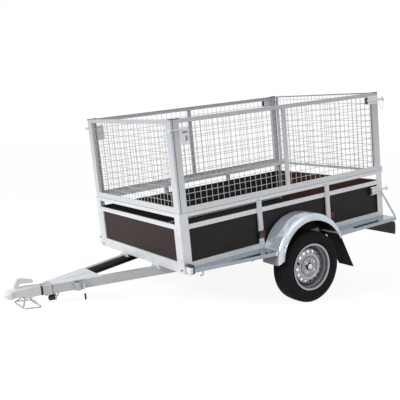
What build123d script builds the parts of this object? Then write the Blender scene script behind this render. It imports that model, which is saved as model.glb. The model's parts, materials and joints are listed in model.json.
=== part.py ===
"""Single-axle utility trailer with a mesh cage, parked nose-down on its wire foot."""
import os
from math import asin, atan2, cos, degrees, hypot, radians, sqrt, tan

from build123d import *

# The trailer is drawn level: x forward, y to the left, z up, the axle over x = 0
# and the road at z = 0. All lengths are in millimetres.

# Sheet and ply
sheet = 3.0
thin_sheet = 2.0
ply = 12.0

# Wheels
tyre_radius = 280.0
tyre_width = 157.0
tyre_bead_gap = 0.3
tyre_bead_rise = 3.0
tyre_bulge_rise = 40.0
tyre_shoulder = (12.0, 10.0)
tyre_edge = (4.0, 20.0)
tyre_crown = (2.0, 32.0)
tread_wall = 14.0
side_wall = 8.0
cavity_bead_rise = 6.0
cavity_bulge_rise = 44.0
cavity_shoulder = 22.0
rim_radius = 182.5
rim_half_width = 70.0
rim_sheet = 4.0
rim_lip = 4.0
rim_seat_drop = 17.0
rim_well_drop = 34.0
rim_seat = (25.0, 26.0)
rim_well = (36.0, 44.0)
disc_dish = 14.0
disc_ring_half = 16.0
disc_ring_crest = 24.0
disc_ring_rise = 10.0
disc_ring_fall = 2.0
disc_pad = 6.0
wheel_stand = 111.0
wheel_offset = 30.0
hub_hole_radius = 29.0
bolt_circle_radius = 49.0
bolt_hole_radius = 7.0
bolt_count = 4
vent_count = 16
vent_radius = 11.5
vent_circle_radius = 118.0

# Body
body_front = 1030.0
body_length = 2040.0
body_half = 672.0
rail_bottom = 436.0
rail_height = 76.0
rail_flange = 40.0
rear_rail_height = 49.0
cross_member_width = 40.0
cross_member_height = 46.0
cross_member_places = (640.0, 230.0, -480.0)
panel_height = 272.0
panel_rail_height = 32.0
panel_rail_depth = 12.0
rope_slot_height = 56.0
lash_rail_height = 30.0
lash_rail_depth = 30.0
front_post_leg = 70.0
rear_post_leg = 62.0
rear_post_inset = 40.0
rear_post_lift = 40.0
front_stile_width = 25.0
stake_width = 40.0
stake_depth = 13.0
stake_lap = 6.0
floor_lap = 4.0
front_stake_lap = 14.0
rear_stake_past = 22.0
end_slot_length = 30.0
end_slot_height = 12.0
end_slot_inset = 34.0
end_slot_lift = 22.0

# Side ledges
ledge_lift = 12.0
ledge_lip = 28.0
ledge_front_inset = 45.0
ledge_reach_front = 58.0
ledge_reach_guard = 186.0
ledge_reach_mid = 150.0
ledge_reach_rear = 148.0
ledge_flap_gap = 8.0
ledge_tab_length = 160.0
ledge_tab_rise = 16.0
ledge_tab_slope = 30.0

# Mesh cage
cage_height = 659.0
cage_depth = 16.0
cage_bottom_rail = 40.0
cage_top_rail = 28.0
cage_mid_bar = 34.0
cage_mid_x = 20.0
cage_front_post = 65.0
cage_corner_gap = 6.0
mesh_pitch = 50.0
wire = 4.0
wire_gap = 0.3
wire_margin = 6.0

# Gates
gate_gap = 6.0
tailgate_stile = 40.0
gate_side_post = 22.0
gate_bottom_rail = 20.0
gate_top_rail = 10.0
gate_inset = 4.0
tailgate_pivot_back = 12.0
tailgate_pivot_lift = 3.0
tailgate_floor_gap = 7.0
rear_gate_pivot_back = 30.0
rear_gate_pivot_lift = 18.0
rear_gate_drop = 14.0
lug_radius = 12.0
lug_width = 8.0
lug_inset = 12.0
gate_bracket_width = 10.0
gate_bracket_inset = 10.0
gate_pin_past = 3.0
pin_radius = 5.0
pin_clearance = 0.1
knuckle_radius = 9.0
hinge_half_width = 40.0
hinge_plate = 4.0
hinge_plate_inset = 10.0
strap_half_width = 15.0
strap_length = 84.0
hinge_place = 430.0

# Mudguards
guard_radius = 345.0
guard_rise = 77.0
guard_width = 193.0
guard_skirt = 55.0
guard_skirt_cut = 28.0
guard_lip = 22.0
guard_round = 25.0
guard_front_angle = 2.2
guard_rear_angle = 163.3
flap_length = 298.0
flap_thickness = 5.0
flap_kink = 40.0
flap_lean = 7.0
flap_inset = 6.0
stay_radius = 8.0
stay_depth = 35.0
stay_drop = 12.0

# Drawbar
beam_bottom = 356.0
beam_height = 68.0
beam_flange = 36.0
beam_sheet = 4.0
beam_tip_x = 1850.0
beam_tip_y = 42.0
beam_root_share = 0.424
beam_end_x = 190.0
tongue_half = 30.0
tongue_start_x = 1640.0
tongue_end_x = 1990.0
gusset_tip_gap = 50.0
gusset_length = 360.0
gusset_slot_length = 200.0
gusset_slot_width = 9.0
gusset_slot_back = 240.0
bracket_length = 60.0

# Coupling head
coupling_rear_x = 1866.0
coupling_ball_x = 2082.0
coupling_nose_radius = 44.0
coupling_half = 36.0
coupling_heel = 362.0
coupling_lip = 385.0
coupling_top = 444.0
coupling_top_fall = 10.0
coupling_crest_back = 44.0
coupling_chin_rise = 12.0
coupling_brow_drop = 15.0
coupling_brow_past = 12.0
coupling_tip_drop = 41.0
coupling_round = 12.0
nose_round = 24.0
ball_radius = 25.0
ball_clearance = 0.2
ball_depth = 16.0
handle_width = 32.0
handle_foot_back = 36.0
handle_leg = 28.0
handle_length = 138.0
handle_rise = 66.0
handle_depth = 34.0
handle_end_depth = 24.0
handle_fall = 26.0
handle_round = 6.0

# Parking foot of bent rod
foot_rod = 10.0
foot_half_width = 116.0
foot_length = 126.0
foot_centre_x = 1966.0
foot_centre_z = 310.0
foot_bend = 20.0
foot_leg_half_top = 18.0
foot_leg_share = 0.125

# Nose wheel clamp
clamp_x = 1614.0
clamp_bore_radius = 24.1
clamp_wall = 5.0
clamp_height = 60.0
clamp_top = 424.0
clamp_slit = 8.0
clamp_ear = 22.0
clamp_plate = 6.0
grip_radius = 7.0
grip_length = 44.0
grip_drop = 62.0
screw_radius = 5.0
screw_tail = 4.0
screw_past = 14.0
screw_eye = 10.0
grip_rod = 4.0

# Plug and lead
plug_back = 210.0
plug_drop = 48.0
plug_radius = 21.0
plug_length = 56.0
holder_wall = 4.0
holder_length = 92.0
holder_half = 9.0
holder_depth = 24.0
collar_length = 12.0
lead_radius = 3.5
lead_back = 24.0
lead_bend = 20.0
lead_reach = 28.0
lead_hole_gap = 0.5

# Axle
axle_tube = 60.0
axle_tube_wall = 5.0
axle_tube_x = 135.0
axle_tube_z = 338.0
arm_inset = 32.0
arm_thickness = 26.0
arm_pivot_radius = 44.0
arm_end_radius = 34.0
spindle_radius = 17.0
spindle_clearance = 0.1
hub_radius = 40.0
hub_flange_radius = 66.0
hub_flange = 10.0
hub_length = 84.0
hub_cap_radius = 26.0
hub_cap_length = 16.0
axle_foot_length = 110.0
axle_foot_sheet = 5.0
axle_foot_step = 30.0

# Lamps and reflectors
lamp_board_height = 110.0
lamp_board_past = 140.0
lamp_board_inset = 10.0
tail_lamp_width = 230.0
tail_lamp_height = 84.0
tail_lamp_depth = 22.0
tail_lamp_edge = 14.0
tail_lamp_lift = 13.0
tail_lamp_round = 12.0
front_lamp_size = 58.0
front_lamp_body = 12.0
front_lamp_lens = 24.0
front_lamp_step = 3.0
front_lamp_hood = 10.0
front_lamp_drop = 8.0
reflector_length = 62.0
reflector_height = 54.0
reflector_depth = 8.0
reflector_lift = 100.0
reflector_gap = 2.0
strut_width = 18.0
strut_thickness = 5.0
strut_rise = 206.0
strut_inset = 8.0
strut_past = 20.0

# Latches
latch_plate_length = 128.0
latch_plate_height = 68.0
latch_plate = 5.0
latch_plate_inset = 12.0
latch_barrel_radius = 9.0
latch_barrel_sink = 2.0
latch_reach = 58.0
latch_lever_length = 44.0
latch_lever_radius = 5.0
cage_latch_drop = 60.0
tailgate_latch_drop = 78.0
catch_plate_width = 76.0
catch_plate_inset = 64.0
catch_plate_above = 14.0
catch_plate_below = 110.0
catch_drop = 74.0
catch_reach = 24.0
catch_bolt_radius = 5.0
catch_bolt_lap = 20.0
catch_knob_radius = 12.0
catch_knob_length = 16.0

# Levels and places that follow
body_rear = body_front - body_length
wheel_plane = body_half + wheel_stand
axle_z = tyre_radius
rail_top = rail_bottom + rail_height
floor_bottom = rail_bottom + sheet + cross_member_height
floor_top = floor_bottom + ply
rear_rail_top = rail_bottom + rear_rail_height
panel_top = rail_top + panel_height
panel_rail_bottom = panel_top - panel_rail_height
lash_bottom = panel_top + rope_slot_height
lash_top = lash_bottom + lash_rail_height
cage_bottom = lash_top
cage_top = cage_bottom + cage_height
panel_outer = body_half - panel_rail_depth
panel_inner = panel_outer - ply
post_half = body_half + sheet
member_half = body_half - sheet
ledge_bottom = rail_bottom + ledge_lift
ledge_top = ledge_bottom + ledge_lip
gate_half = body_half - rear_post_inset - gate_gap
beam_top = beam_bottom + beam_height
beam_root_y = body_half * beam_root_share
beam_lean = degrees(atan2(beam_root_y - beam_tip_y, beam_tip_x - body_front))
beam_length = (beam_tip_x - beam_end_x) / cos(radians(beam_lean))
tongue_top = beam_top - beam_sheet
tongue_bottom = beam_bottom + beam_sheet
guard_centre_z = axle_z + guard_rise
front_stake_x = guard_radius - front_stake_lap
rear_stake_x = -guard_radius - rear_stake_past
guard_inner = body_half + stake_depth
guard_outer = guard_inner + guard_width

# The foot lies flat on the road when the nose is down, and sets how far down it goes
foot_rise = foot_centre_z - axle_z
foot_distance = hypot(foot_centre_x, foot_rise)
nose_down = degrees(asin((tyre_radius - foot_rod / 2) / foot_distance) + atan2(foot_rise, foot_centre_x))


def block(x, y, z):
    """A box between its low and high value along each axis."""
    size = Box(x[1] - x[0], y[1] - y[0], z[1] - z[0])
    return Pos((x[0] + x[1]) / 2, (y[0] + y[1]) / 2, (z[0] + z[1]) / 2) * size


def mirrored(shape):
    """The same piece on the other side of the trailer."""
    return mirror(shape, about=Plane.XZ)


def group(*shapes):
    """Several solids that don't touch, kept as one node."""
    return Compound([solid for shape in shapes for solid in shape.solids()])


def pair(shape):
    """A left piece and its twin on the right."""
    return group(shape, mirrored(shape))


def rod(start, end, radius):
    """A straight round bar between two points."""
    run = Vector(*end) - Vector(*start)
    return extrude(Plane(Vector(*start), z_dir=run) * Circle(radius), run.length)


def band(front, half, depth, z, back):
    """A bar of rectangular section round the front and both sides of the body, open behind."""
    outside = block((back, front), (-half, half), z)
    inside = block((back - 1, front - depth), (depth - half, half - depth), (z[0] - 1, z[1] + 1))
    return outside - inside


def about_wheel(profile, centre_z):
    """A turned piece: its profile gives radius along x and place along y."""
    return Pos(0, 0, centre_z) * revolve(profile, Axis.Y)


# Bottom rails, floor and cross members: folded channels that the ply floor slots into
def channel_y(x_web, x_flange, half, z):
    """A channel across the body with its web at one edge and its flanges towards the other."""
    inward = sheet if x_flange > x_web else -sheet
    span = sorted((x_web, x_flange))
    cut = sorted((x_web + inward, x_flange + inward))
    return block(span, (-half, half), z) - block(cut, (-half - 1, half + 1), (z[0] + sheet, z[1] - sheet))


def end_slots():
    """Slots near the ends of the front rail, through its web and the corner posts."""
    slot = extrude(Plane.YZ * SlotOverall(end_slot_length, end_slot_height), 4 * sheet, both=True)
    left = Pos(body_front, body_half - end_slot_inset, rail_bottom + end_slot_lift) * slot
    return [left, mirrored(left)]


front_rail = channel_y(body_front, body_front - rail_flange, body_half, (rail_bottom, rail_top))
front_rail -= end_slots()
rear_rail = channel_y(body_rear, body_rear + rail_flange, body_half, (rail_bottom, rear_rail_top))

side_rail_x = (body_rear + rail_flange, body_front - rail_flange)
side_rail = block(side_rail_x, (body_half - rail_flange, body_half), (rail_bottom, rail_top)) - block(
    (side_rail_x[0] - 1, side_rail_x[1] + 1),
    (body_half - rail_flange - 1, body_half - sheet),
    (rail_bottom + sheet, rail_top - sheet),
)

member = block(
    (-cross_member_width / 2, cross_member_width / 2),
    (-member_half, member_half),
    (rail_bottom + sheet, floor_bottom),
) - block(
    (sheet - cross_member_width / 2, cross_member_width / 2 - sheet),
    (-member_half - 1, member_half + 1),
    (rail_bottom + sheet - 1, floor_bottom - sheet),
)
cross_members = group(*[Pos(x, 0, 0) * member for x in cross_member_places])

floor_rear = body_rear + rail_flange - floor_lap
floor = block(
    (floor_rear, body_front - 2 * sheet),
    (sheet - member_half, member_half - sheet),
    (floor_bottom, floor_top),
)

# Ply walls with a folded rail outside their top edge
front_panel = block(
    (body_front - panel_rail_depth - ply, body_front - panel_rail_depth),
    (-panel_outer, panel_outer),
    (rail_top, panel_top),
)
side_panel = block(
    (floor_rear, body_front - panel_rail_depth - ply),
    (panel_inner, panel_outer),
    (rail_top, panel_top),
)
panel_rails = band(
    body_front, body_half, panel_rail_depth, (panel_rail_bottom, panel_top), body_rear
) - band(
    body_front - thin_sheet,
    body_half - thin_sheet,
    panel_rail_depth,
    (panel_rail_bottom + thin_sheet, panel_top - thin_sheet),
    body_rear - 1,
)
lash_rails = band(
    body_front, body_half, lash_rail_depth, (lash_bottom, lash_top), body_rear
) - band(
    body_front - thin_sheet,
    body_half - thin_sheet,
    lash_rail_depth - 2 * thin_sheet,
    (lash_bottom + thin_sheet, lash_top - thin_sheet),
    body_rear - 1,
)

stile_inner = post_half - front_post_leg - front_stile_width
stile = block(
    (body_front - panel_rail_depth, body_front), (stile_inner, body_half), (rail_top, panel_rail_bottom)
) - block(
    (body_front - panel_rail_depth - 1, body_front - thin_sheet),
    (stile_inner + thin_sheet, body_half - thin_sheet),
    (rail_top - 1, panel_rail_bottom + 1),
)

# Corner posts wrap round the rails, and stakes stand outside them
front_post = block(
    (post_half - body_half + body_front - front_post_leg, body_front + sheet),
    (post_half - front_post_leg, post_half),
    (rail_bottom, lash_top),
) - block(
    (body_front - front_post_leg, body_front),
    (post_half - front_post_leg - 1, body_half),
    (rail_bottom - 1, lash_top + 1),
) - end_slots()
rear_post = block(
    (body_rear - sheet, body_rear - sheet + rear_post_leg),
    (body_half - rear_post_inset, post_half),
    (rail_bottom + rear_post_lift, lash_top),
) - block(
    (body_rear, body_rear + rear_post_leg),
    (body_half - rear_post_inset - 1, body_half),
    (rail_bottom + rear_post_lift - 1, lash_top + 1),
)
stake_top = lash_bottom + stake_lap
stake = block(
    (-stake_width / 2, stake_width / 2), (body_half, body_half + stake_depth), (rail_bottom, stake_top)
) - block(
    (sheet - stake_width / 2, stake_width / 2 - sheet),
    (body_half - 1, body_half + stake_depth - sheet),
    (rail_bottom - 1, stake_top + 1),
)
stakes = group(*[pair(Pos(x, 0, 0) * stake) for x in (front_stake_x, rear_stake_x)])


# Side ledges: folded trays, widest at the mudguard
def ledge(x_near, x_far, reach_near, reach_far, notch):
    """A shelf with a lip along its outer edge and across its far end."""
    lean = (reach_far - reach_near) / (x_far - x_near)

    def plan(inset, inner):
        end = x_far - inset if x_far > x_near else x_far + inset
        return Polyline(
            (x_near, inner),
            (x_near, body_half + reach_near - inset),
            (end, body_half + reach_near + lean * (end - x_near) - inset),
            (end, inner),
            close=True,
        )

    outside = extrude(Pos(0, 0, ledge_bottom) * make_face(plan(0, body_half)), ledge_lip)
    inside = extrude(
        Pos(0, 0, ledge_bottom - 1) * make_face(plan(sheet, body_half - 1)), ledge_lip + 1 - sheet
    )
    return outside - inside - notch


guard_room = Pos(0, (guard_inner + guard_outer) / 2, guard_centre_z) * Rot(90, 0, 0) * Cylinder(
    guard_radius, guard_width
)
post_room = block(
    (body_front - front_post_leg, body_front + 2 * sheet), (body_half - 1, post_half), (0, lash_top)
)
stake_room = block(
    (front_stake_x - stake_width / 2, front_stake_x + stake_width / 2),
    (body_half - 1, guard_inner),
    (0, lash_top),
)
guard_front_x = sqrt(guard_radius ** 2 - (ledge_top - guard_centre_z) ** 2)
front_ledge = ledge(
    guard_front_x,
    body_front - ledge_front_inset,
    ledge_reach_guard,
    ledge_reach_front,
    post_room + stake_room + guard_room,
)
rear_room = block(
    (body_rear - sheet, body_rear - sheet + rear_post_leg), (body_half - 1, post_half), (0, lash_top)
)
rear_stake_room = block(
    (rear_stake_x - stake_width / 2, rear_stake_x + stake_width / 2),
    (body_half - 1, guard_inner),
    (0, lash_top),
)
rear_ledge_near = -guard_radius - ledge_flap_gap
rear_ledge = ledge(
    rear_ledge_near, body_rear, ledge_reach_mid, ledge_reach_rear, rear_room + rear_stake_room
)
tab_outline = make_face(
    Polyline(
        (rear_ledge_near, ledge_top),
        (rear_ledge_near, ledge_top + ledge_tab_rise),
        (rear_ledge_near - ledge_tab_length + ledge_tab_slope, ledge_top + ledge_tab_rise),
        (rear_ledge_near - ledge_tab_length, ledge_top),
        close=True,
    )
)
tab_outer = body_half + min(ledge_reach_mid, ledge_reach_rear)
rear_ledge += Pos(0, tab_outer, 0) * extrude(Plane.XZ * tab_outline, sheet)
ledges = group(pair(front_ledge), pair(rear_ledge))


# Mesh cage: folded frames with welded wire on their inner faces
def frame_sketch(size, rails, posts, bars, inset):
    """Frame outline with its windows. rails: bottom, top; posts: low end, high end."""
    width, height = size
    outline = Pos(width / 2, height / 2) * Rectangle(width - 2 * inset, height - 2 * inset)
    edges = [posts[0]] + [edge for place, bar in bars for edge in (place - bar / 2, place + bar / 2)]
    edges.append(width - posts[1])
    low = rails[0] - inset
    high = height - rails[1] + inset
    for left, right in zip(edges[0::2], edges[1::2]):
        window = Rectangle(right - left + 2 * inset, high - low)
        outline -= Pos((left + right) / 2, (low + high) / 2) * window
    return outline


def folded_frame(size, rails, posts, bars):
    """The frame as a shallow tray, open towards the wires at its back."""
    front = extrude(frame_sketch(size, rails, posts, bars, 0), -cage_depth)
    hollow = Pos(0, 0, -thin_sheet) * frame_sketch(size, rails, posts, bars, thin_sheet)
    return front - extrude(hollow, -cage_depth)


def wire_panel(width, height, middle, back):
    """Upright wires behind level wires, at the mesh pitch, drawn behind a frame of this depth."""
    section = RegularPolygon(wire / sqrt(3), 6)
    upright_plane = Plane((0, wire_margin, 0), x_dir=(1, 0, 0), z_dir=(0, 1, 0))
    level_plane = Plane((wire_margin, 0, 0), x_dir=(0, 1, 0), z_dir=(1, 0, 0))
    upright = extrude(upright_plane * section, height - 2 * wire_margin)
    level = extrude(level_plane * section, width - 2 * wire_margin)
    wires = []
    steps_left = int((middle - wire_margin - wire) // mesh_pitch)
    steps_right = int((width - middle - wire_margin - wire) // mesh_pitch)
    for step in range(-steps_left, steps_right + 1):
        wires.append(Pos(middle + step * mesh_pitch, 0, -back - 1.5 * wire - wire_gap) * upright)
    rows = int((height / 2 - wire_margin - wire) // mesh_pitch)
    for row in range(-rows, rows + 1):
        wires.append(Pos(0, height / 2 + row * mesh_pitch, -back - wire / 2) * level)
    return wires


# Planes of the four mesh panels: local x along the panel, local y up, local z outwards
side_front = body_front - cage_depth - cage_corner_gap
side_width = side_front - body_rear
left_plane = Plane((side_front, body_half, cage_bottom), x_dir=(-1, 0, 0), z_dir=(0, 1, 0))
front_plane = Plane((body_front, -body_half, cage_bottom), x_dir=(0, 1, 0), z_dir=(1, 0, 0))

cage_rails = (cage_bottom_rail, cage_top_rail)
side_middle = side_front - cage_mid_x
side_posts = (front_post_leg - cage_depth - cage_corner_gap, rear_post_leg)
cage_side = left_plane * folded_frame(
    (side_width, cage_height), cage_rails, side_posts, [(side_middle, cage_mid_bar)]
)
cage_front = front_plane * folded_frame(
    (2 * body_half, cage_height), cage_rails, (cage_front_post, cage_front_post), []
)
corner_room = cage_depth + 2 * wire + wire_gap
side_wires = group(*[
    left_plane * Pos(corner_room, 0, 0) * one
    for one in wire_panel(side_width - corner_room, cage_height, side_middle - corner_room, cage_depth)
])
front_wires = group(*[
    front_plane * Pos(corner_room, 0, 0) * one
    for one in wire_panel(2 * (body_half - corner_room), cage_height, body_half - corner_room, cage_depth)
])

# Rear gates: a ply tailgate below and a mesh gate above, each on pins at its foot
tailgate_rear = body_rear + thin_sheet
tailgate_bottom = rear_rail_top + tailgate_floor_gap
tailgate_frame_front = tailgate_rear + panel_rail_depth
tailgate_panel = block(
    (tailgate_frame_front, tailgate_frame_front + ply),
    (-gate_half, gate_half),
    (tailgate_bottom, panel_top),
)


def tailgate_ring(inset):
    """The tailgate's frame as a flat ring, drawn in y and z."""
    height = panel_top - tailgate_bottom
    ring = Rectangle(2 * gate_half - 2 * inset, height - 2 * inset)
    window = Rectangle(2 * (gate_half - tailgate_stile + inset), height - 2 * (panel_rail_height - inset))
    middle = (tailgate_rear, 0, (tailgate_bottom + panel_top) / 2)
    return Plane(middle, x_dir=(0, 1, 0), z_dir=(1, 0, 0)) * (ring - window)


tailgate_frame = extrude(tailgate_ring(0), panel_rail_depth) - Pos(thin_sheet, 0, 0) * extrude(
    tailgate_ring(thin_sheet), panel_rail_depth
)
tailgate_pivot_x = body_rear - tailgate_pivot_back
tailgate_pivot_z = rear_rail_top + tailgate_pivot_lift


def pivot_bar(x, y, z, radius):
    """A round bar along y between two values of y."""
    return rod((x, y[0], z), (x, y[1], z), radius)


strap_bore = pivot_bar(
    tailgate_pivot_x,
    (-strap_half_width - 1, strap_half_width + 1),
    tailgate_pivot_z,
    pin_radius + pin_clearance,
)
strap = (
    block(
        (tailgate_pivot_x + knuckle_radius - 1, tailgate_rear),
        (-strap_half_width, strap_half_width),
        (tailgate_pivot_z, tailgate_pivot_z + strap_length),
    )
    + pivot_bar(tailgate_pivot_x, (-strap_half_width, strap_half_width), tailgate_pivot_z, knuckle_radius)
) - strap_bore
tailgate_straps = group(*[Pos(0, y, 0) * strap for y in (-hinge_place, hinge_place)])

ear_inner = strap_half_width + 1
hinge = block(
    (body_rear - hinge_plate, body_rear),
    (-hinge_half_width, hinge_half_width),
    (rail_bottom + hinge_plate_inset, tailgate_pivot_z - hinge_plate_inset),
) + pivot_bar(tailgate_pivot_x, (-hinge_half_width, hinge_half_width), tailgate_pivot_z, pin_radius)
for ear in ((-hinge_half_width, -ear_inner), (ear_inner, hinge_half_width)):
    hinge += pivot_bar(tailgate_pivot_x, ear, tailgate_pivot_z, knuckle_radius)
    hinge += block(
        (tailgate_pivot_x, body_rear), ear, (tailgate_pivot_z - 2 * knuckle_radius, tailgate_pivot_z)
    ) - block((tailgate_pivot_x, body_rear + 1), ear, (rear_rail_top, tailgate_pivot_z + 1))
tailgate_hinges = group(*[Pos(0, y, 0) * hinge for y in (-hinge_place, hinge_place)])

gate_rear = body_rear + gate_inset
gate_bottom = cage_bottom - rear_gate_drop
gate_size = (2 * gate_half, cage_top - gate_bottom)
rear_plane = Plane((gate_rear, gate_half, gate_bottom), x_dir=(0, -1, 0), z_dir=(-1, 0, 0))
rear_gate_frame = rear_plane * folded_frame(
    gate_size, (gate_bottom_rail, gate_top_rail), (gate_side_post, gate_side_post), []
)
rear_gate_wires = group(*[rear_plane * one for one in wire_panel(*gate_size, gate_half, cage_depth)])

rear_pivot_x = body_rear - rear_gate_pivot_back
rear_pivot_z = cage_bottom + rear_gate_pivot_lift
lug_outer = gate_half - lug_inset
lug_inner = lug_outer - lug_width
bracket_inner = body_half - rear_post_inset + gate_bracket_inset
bracket_outer = bracket_inner + gate_bracket_width
gate_lug = (
    block(
        (rear_pivot_x, gate_rear),
        (lug_inner, lug_outer),
        (rear_pivot_z - lug_radius, rear_pivot_z + lug_radius),
    )
    + pivot_bar(rear_pivot_x, (lug_inner, lug_outer), rear_pivot_z, lug_radius)
    + pivot_bar(rear_pivot_x, (lug_inner, bracket_outer + gate_pin_past), rear_pivot_z, pin_radius)
)
gate_bracket = (
    block(
        (rear_pivot_x - lug_radius, body_rear - sheet),
        (bracket_inner, bracket_outer),
        (lash_bottom, rear_pivot_z),
    )
    + pivot_bar(rear_pivot_x, (bracket_inner, bracket_outer), rear_pivot_z, lug_radius)
) - pivot_bar(rear_pivot_x, (bracket_inner - 1, bracket_outer + 1), rear_pivot_z, pin_radius + pin_clearance)

# Mudguards: a rolled shell with a skirt outside and a lip against the body
guard_axis = Axis((0, 0, guard_centre_z), (0, -1, 0))


def guard_section(inset, depth):
    """Section of the guard: radius along x and place along y."""
    low = guard_radius - guard_skirt - depth
    width = guard_outer - guard_inner - 2 * inset
    section = Pos((low + guard_radius - inset) / 2, (guard_inner + guard_outer) / 2) * Rectangle(
        guard_radius - inset - low, width
    )
    edge = section.vertices().sort_by(Axis.X)[-2:].sort_by(Axis.Y)[-1]
    return fillet(edge, guard_round - inset)


lip_cut = Pos(guard_radius - guard_lip - guard_skirt / 2, guard_inner) * Rectangle(guard_skirt, 4 * sheet)
guard_profile = guard_section(0, 0) - guard_section(thin_sheet, 1) - lip_cut
guard_sweep = guard_rear_angle - guard_front_angle
mudguard = revolve(Pos(0, 0, guard_centre_z) * guard_profile, guard_axis, guard_sweep).rotate(
    guard_axis, guard_front_angle
)
skirt_low = guard_radius - guard_skirt
skirt_end = guard_centre_z + guard_radius * tan(radians(guard_front_angle))
skirt_cut = make_face(
    Polyline(
        (skirt_low - sheet, guard_centre_z),
        (guard_radius, guard_centre_z),
        (guard_radius, skirt_end),
        (skirt_low, skirt_end + guard_skirt_cut),
        (skirt_low - sheet, skirt_end + guard_skirt_cut),
        close=True,
    )
)
mudguard -= Pos(0, guard_outer + 1, 0) * extrude(Plane.XZ * skirt_cut, guard_round)
flap_outer = guard_radius - thin_sheet / 2
flap_x = (-flap_outer, flap_thickness - flap_outer)
flap_y = (guard_inner + flap_inset, guard_outer - guard_round)
kink_z = guard_centre_z - flap_kink
kink_axis = Axis((flap_x[1], 0, kink_z), (0, -1, 0))
flap = block(flap_x, flap_y, (kink_z, guard_centre_z))
flap += block(flap_x, flap_y, (guard_centre_z - flap_length, kink_z)).rotate(kink_axis, -flap_lean)
flap = flap.rotate(guard_axis, guard_rear_angle - 180)
stay_z = rail_top - stay_drop
stay_x = sqrt((guard_radius - stay_depth) ** 2 - (stay_z - guard_centre_z) ** 2)
stays = group(*[
    pair(pivot_bar(x, (body_half, guard_outer - thin_sheet), stay_z, stay_radius)) for x in (-stay_x, stay_x)
])

# Drawbar: two channels that meet at the tongue and run back under the floor
beam_place = Pos(beam_tip_x, beam_tip_y, 0) * Rot(0, 0, -beam_lean)
beam = beam_place * (
    block((-beam_length, 0), (-beam_flange, 0), (beam_bottom, beam_top))
    - block(
        (-beam_length - 1, 1),
        (-beam_flange - 1, -beam_sheet),
        (beam_bottom + beam_sheet, beam_top - beam_sheet),
    )
)
tongue = block(
    (tongue_start_x, tongue_end_x), (-tongue_half, tongue_half), (tongue_bottom, tongue_top)
) - block(
    (tongue_start_x - 1, tongue_end_x + 1),
    (beam_sheet - tongue_half, tongue_half - beam_sheet),
    (tongue_bottom + beam_sheet, tongue_top - beam_sheet),
)
plug_x = tongue_end_x - plug_back
plug_z = tongue_bottom - plug_drop
lead_x = plug_x - plug_length / 2 - lead_back
tongue -= rod(
    (lead_x, 0, tongue_bottom - 1), (lead_x, 0, tongue_bottom + beam_sheet + 1), lead_radius + lead_hole_gap
)


def beam_outer(x):
    """How far out the drawbar's outer face is at this place along the trailer."""
    return beam_tip_y + (beam_tip_x - x) * tan(radians(beam_lean))


gusset_front_x = beam_tip_x - gusset_tip_gap
gusset_rear_x = gusset_front_x - gusset_length
gusset_plan = Polyline(
    (gusset_rear_x, beam_outer(gusset_rear_x)),
    (gusset_front_x, beam_outer(gusset_front_x)),
    (gusset_front_x, -beam_outer(gusset_front_x)),
    (gusset_rear_x, -beam_outer(gusset_rear_x)),
    close=True,
)
gusset = extrude(Pos(0, 0, beam_top) * make_face(gusset_plan), sheet) - extrude(
    Pos(gusset_front_x - gusset_slot_back, 0, beam_top - 1) * SlotOverall(gusset_slot_length, gusset_slot_width), 4 * sheet
)


def drawbar_bracket(x, top):
    """A packing piece between a drawbar beam and the member above it."""
    along = (x - beam_tip_x) / cos(radians(beam_lean))
    half = bracket_length / 2
    outer = block((along - half, along + half), (-beam_flange, 0), (beam_top, top))
    inner = block(
        (along - half - 1, along + half + 1), (sheet - beam_flange, -sheet), (beam_top + sheet, top - sheet)
    )
    return beam_place * (outer - inner)


rail_bracket = drawbar_bracket(body_front - rail_flange / 2, rail_bottom)
member_bracket = drawbar_bracket(cross_member_places[1], rail_bottom + sheet)

# Coupling head: a pressed hood over the tongue with a socket for the ball
crest_x = coupling_ball_x - coupling_crest_back
tip_x = coupling_ball_x + coupling_nose_radius
side_outline = make_face(
    [
        Polyline(
            (coupling_rear_x, coupling_top - coupling_top_fall),
            (coupling_rear_x, coupling_heel),
            (coupling_ball_x - coupling_nose_radius, coupling_lip),
            (coupling_ball_x + coupling_nose_radius / 2, coupling_lip),
            (tip_x, coupling_lip + coupling_chin_rise),
            (tip_x, coupling_top - coupling_tip_drop),
        ),
        Spline(
            (tip_x, coupling_top - coupling_tip_drop),
            (coupling_ball_x + coupling_brow_past, coupling_top - coupling_brow_drop),
            (crest_x, coupling_top),
            (coupling_rear_x, coupling_top - coupling_top_fall),
        ),
    ]
)
side_form = extrude(Plane.XZ * side_outline, 2 * coupling_nose_radius, both=True)
hood_length = coupling_ball_x - coupling_rear_x
hood = Pos(coupling_rear_x + hood_length / 2, 0, coupling_top / 2) * Box(
    hood_length, 2 * coupling_half, coupling_top
)
hood = fillet(hood.faces().sort_by(Axis.Z)[-1].edges().filter_by(Axis.X), coupling_round)
nose = Pos(coupling_ball_x, 0, coupling_top / 2) * Cylinder(coupling_nose_radius, coupling_top)
nose = fillet(nose.faces().sort_by(Axis.Z)[-1].edges(), nose_round)
coupling = (hood + nose) & side_form
socket_radius = ball_radius + ball_clearance
coupling -= block((coupling_rear_x - 1, tongue_end_x), (-tongue_half, tongue_half), (0, tongue_top))
socket_depth = coupling_lip + ball_depth - coupling_heel
coupling -= Pos(coupling_ball_x, 0, coupling_heel) * extrude(Circle(socket_radius), socket_depth)
coupling -= Pos(coupling_ball_x, 0, coupling_lip + ball_depth) * Sphere(socket_radius)

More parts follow.
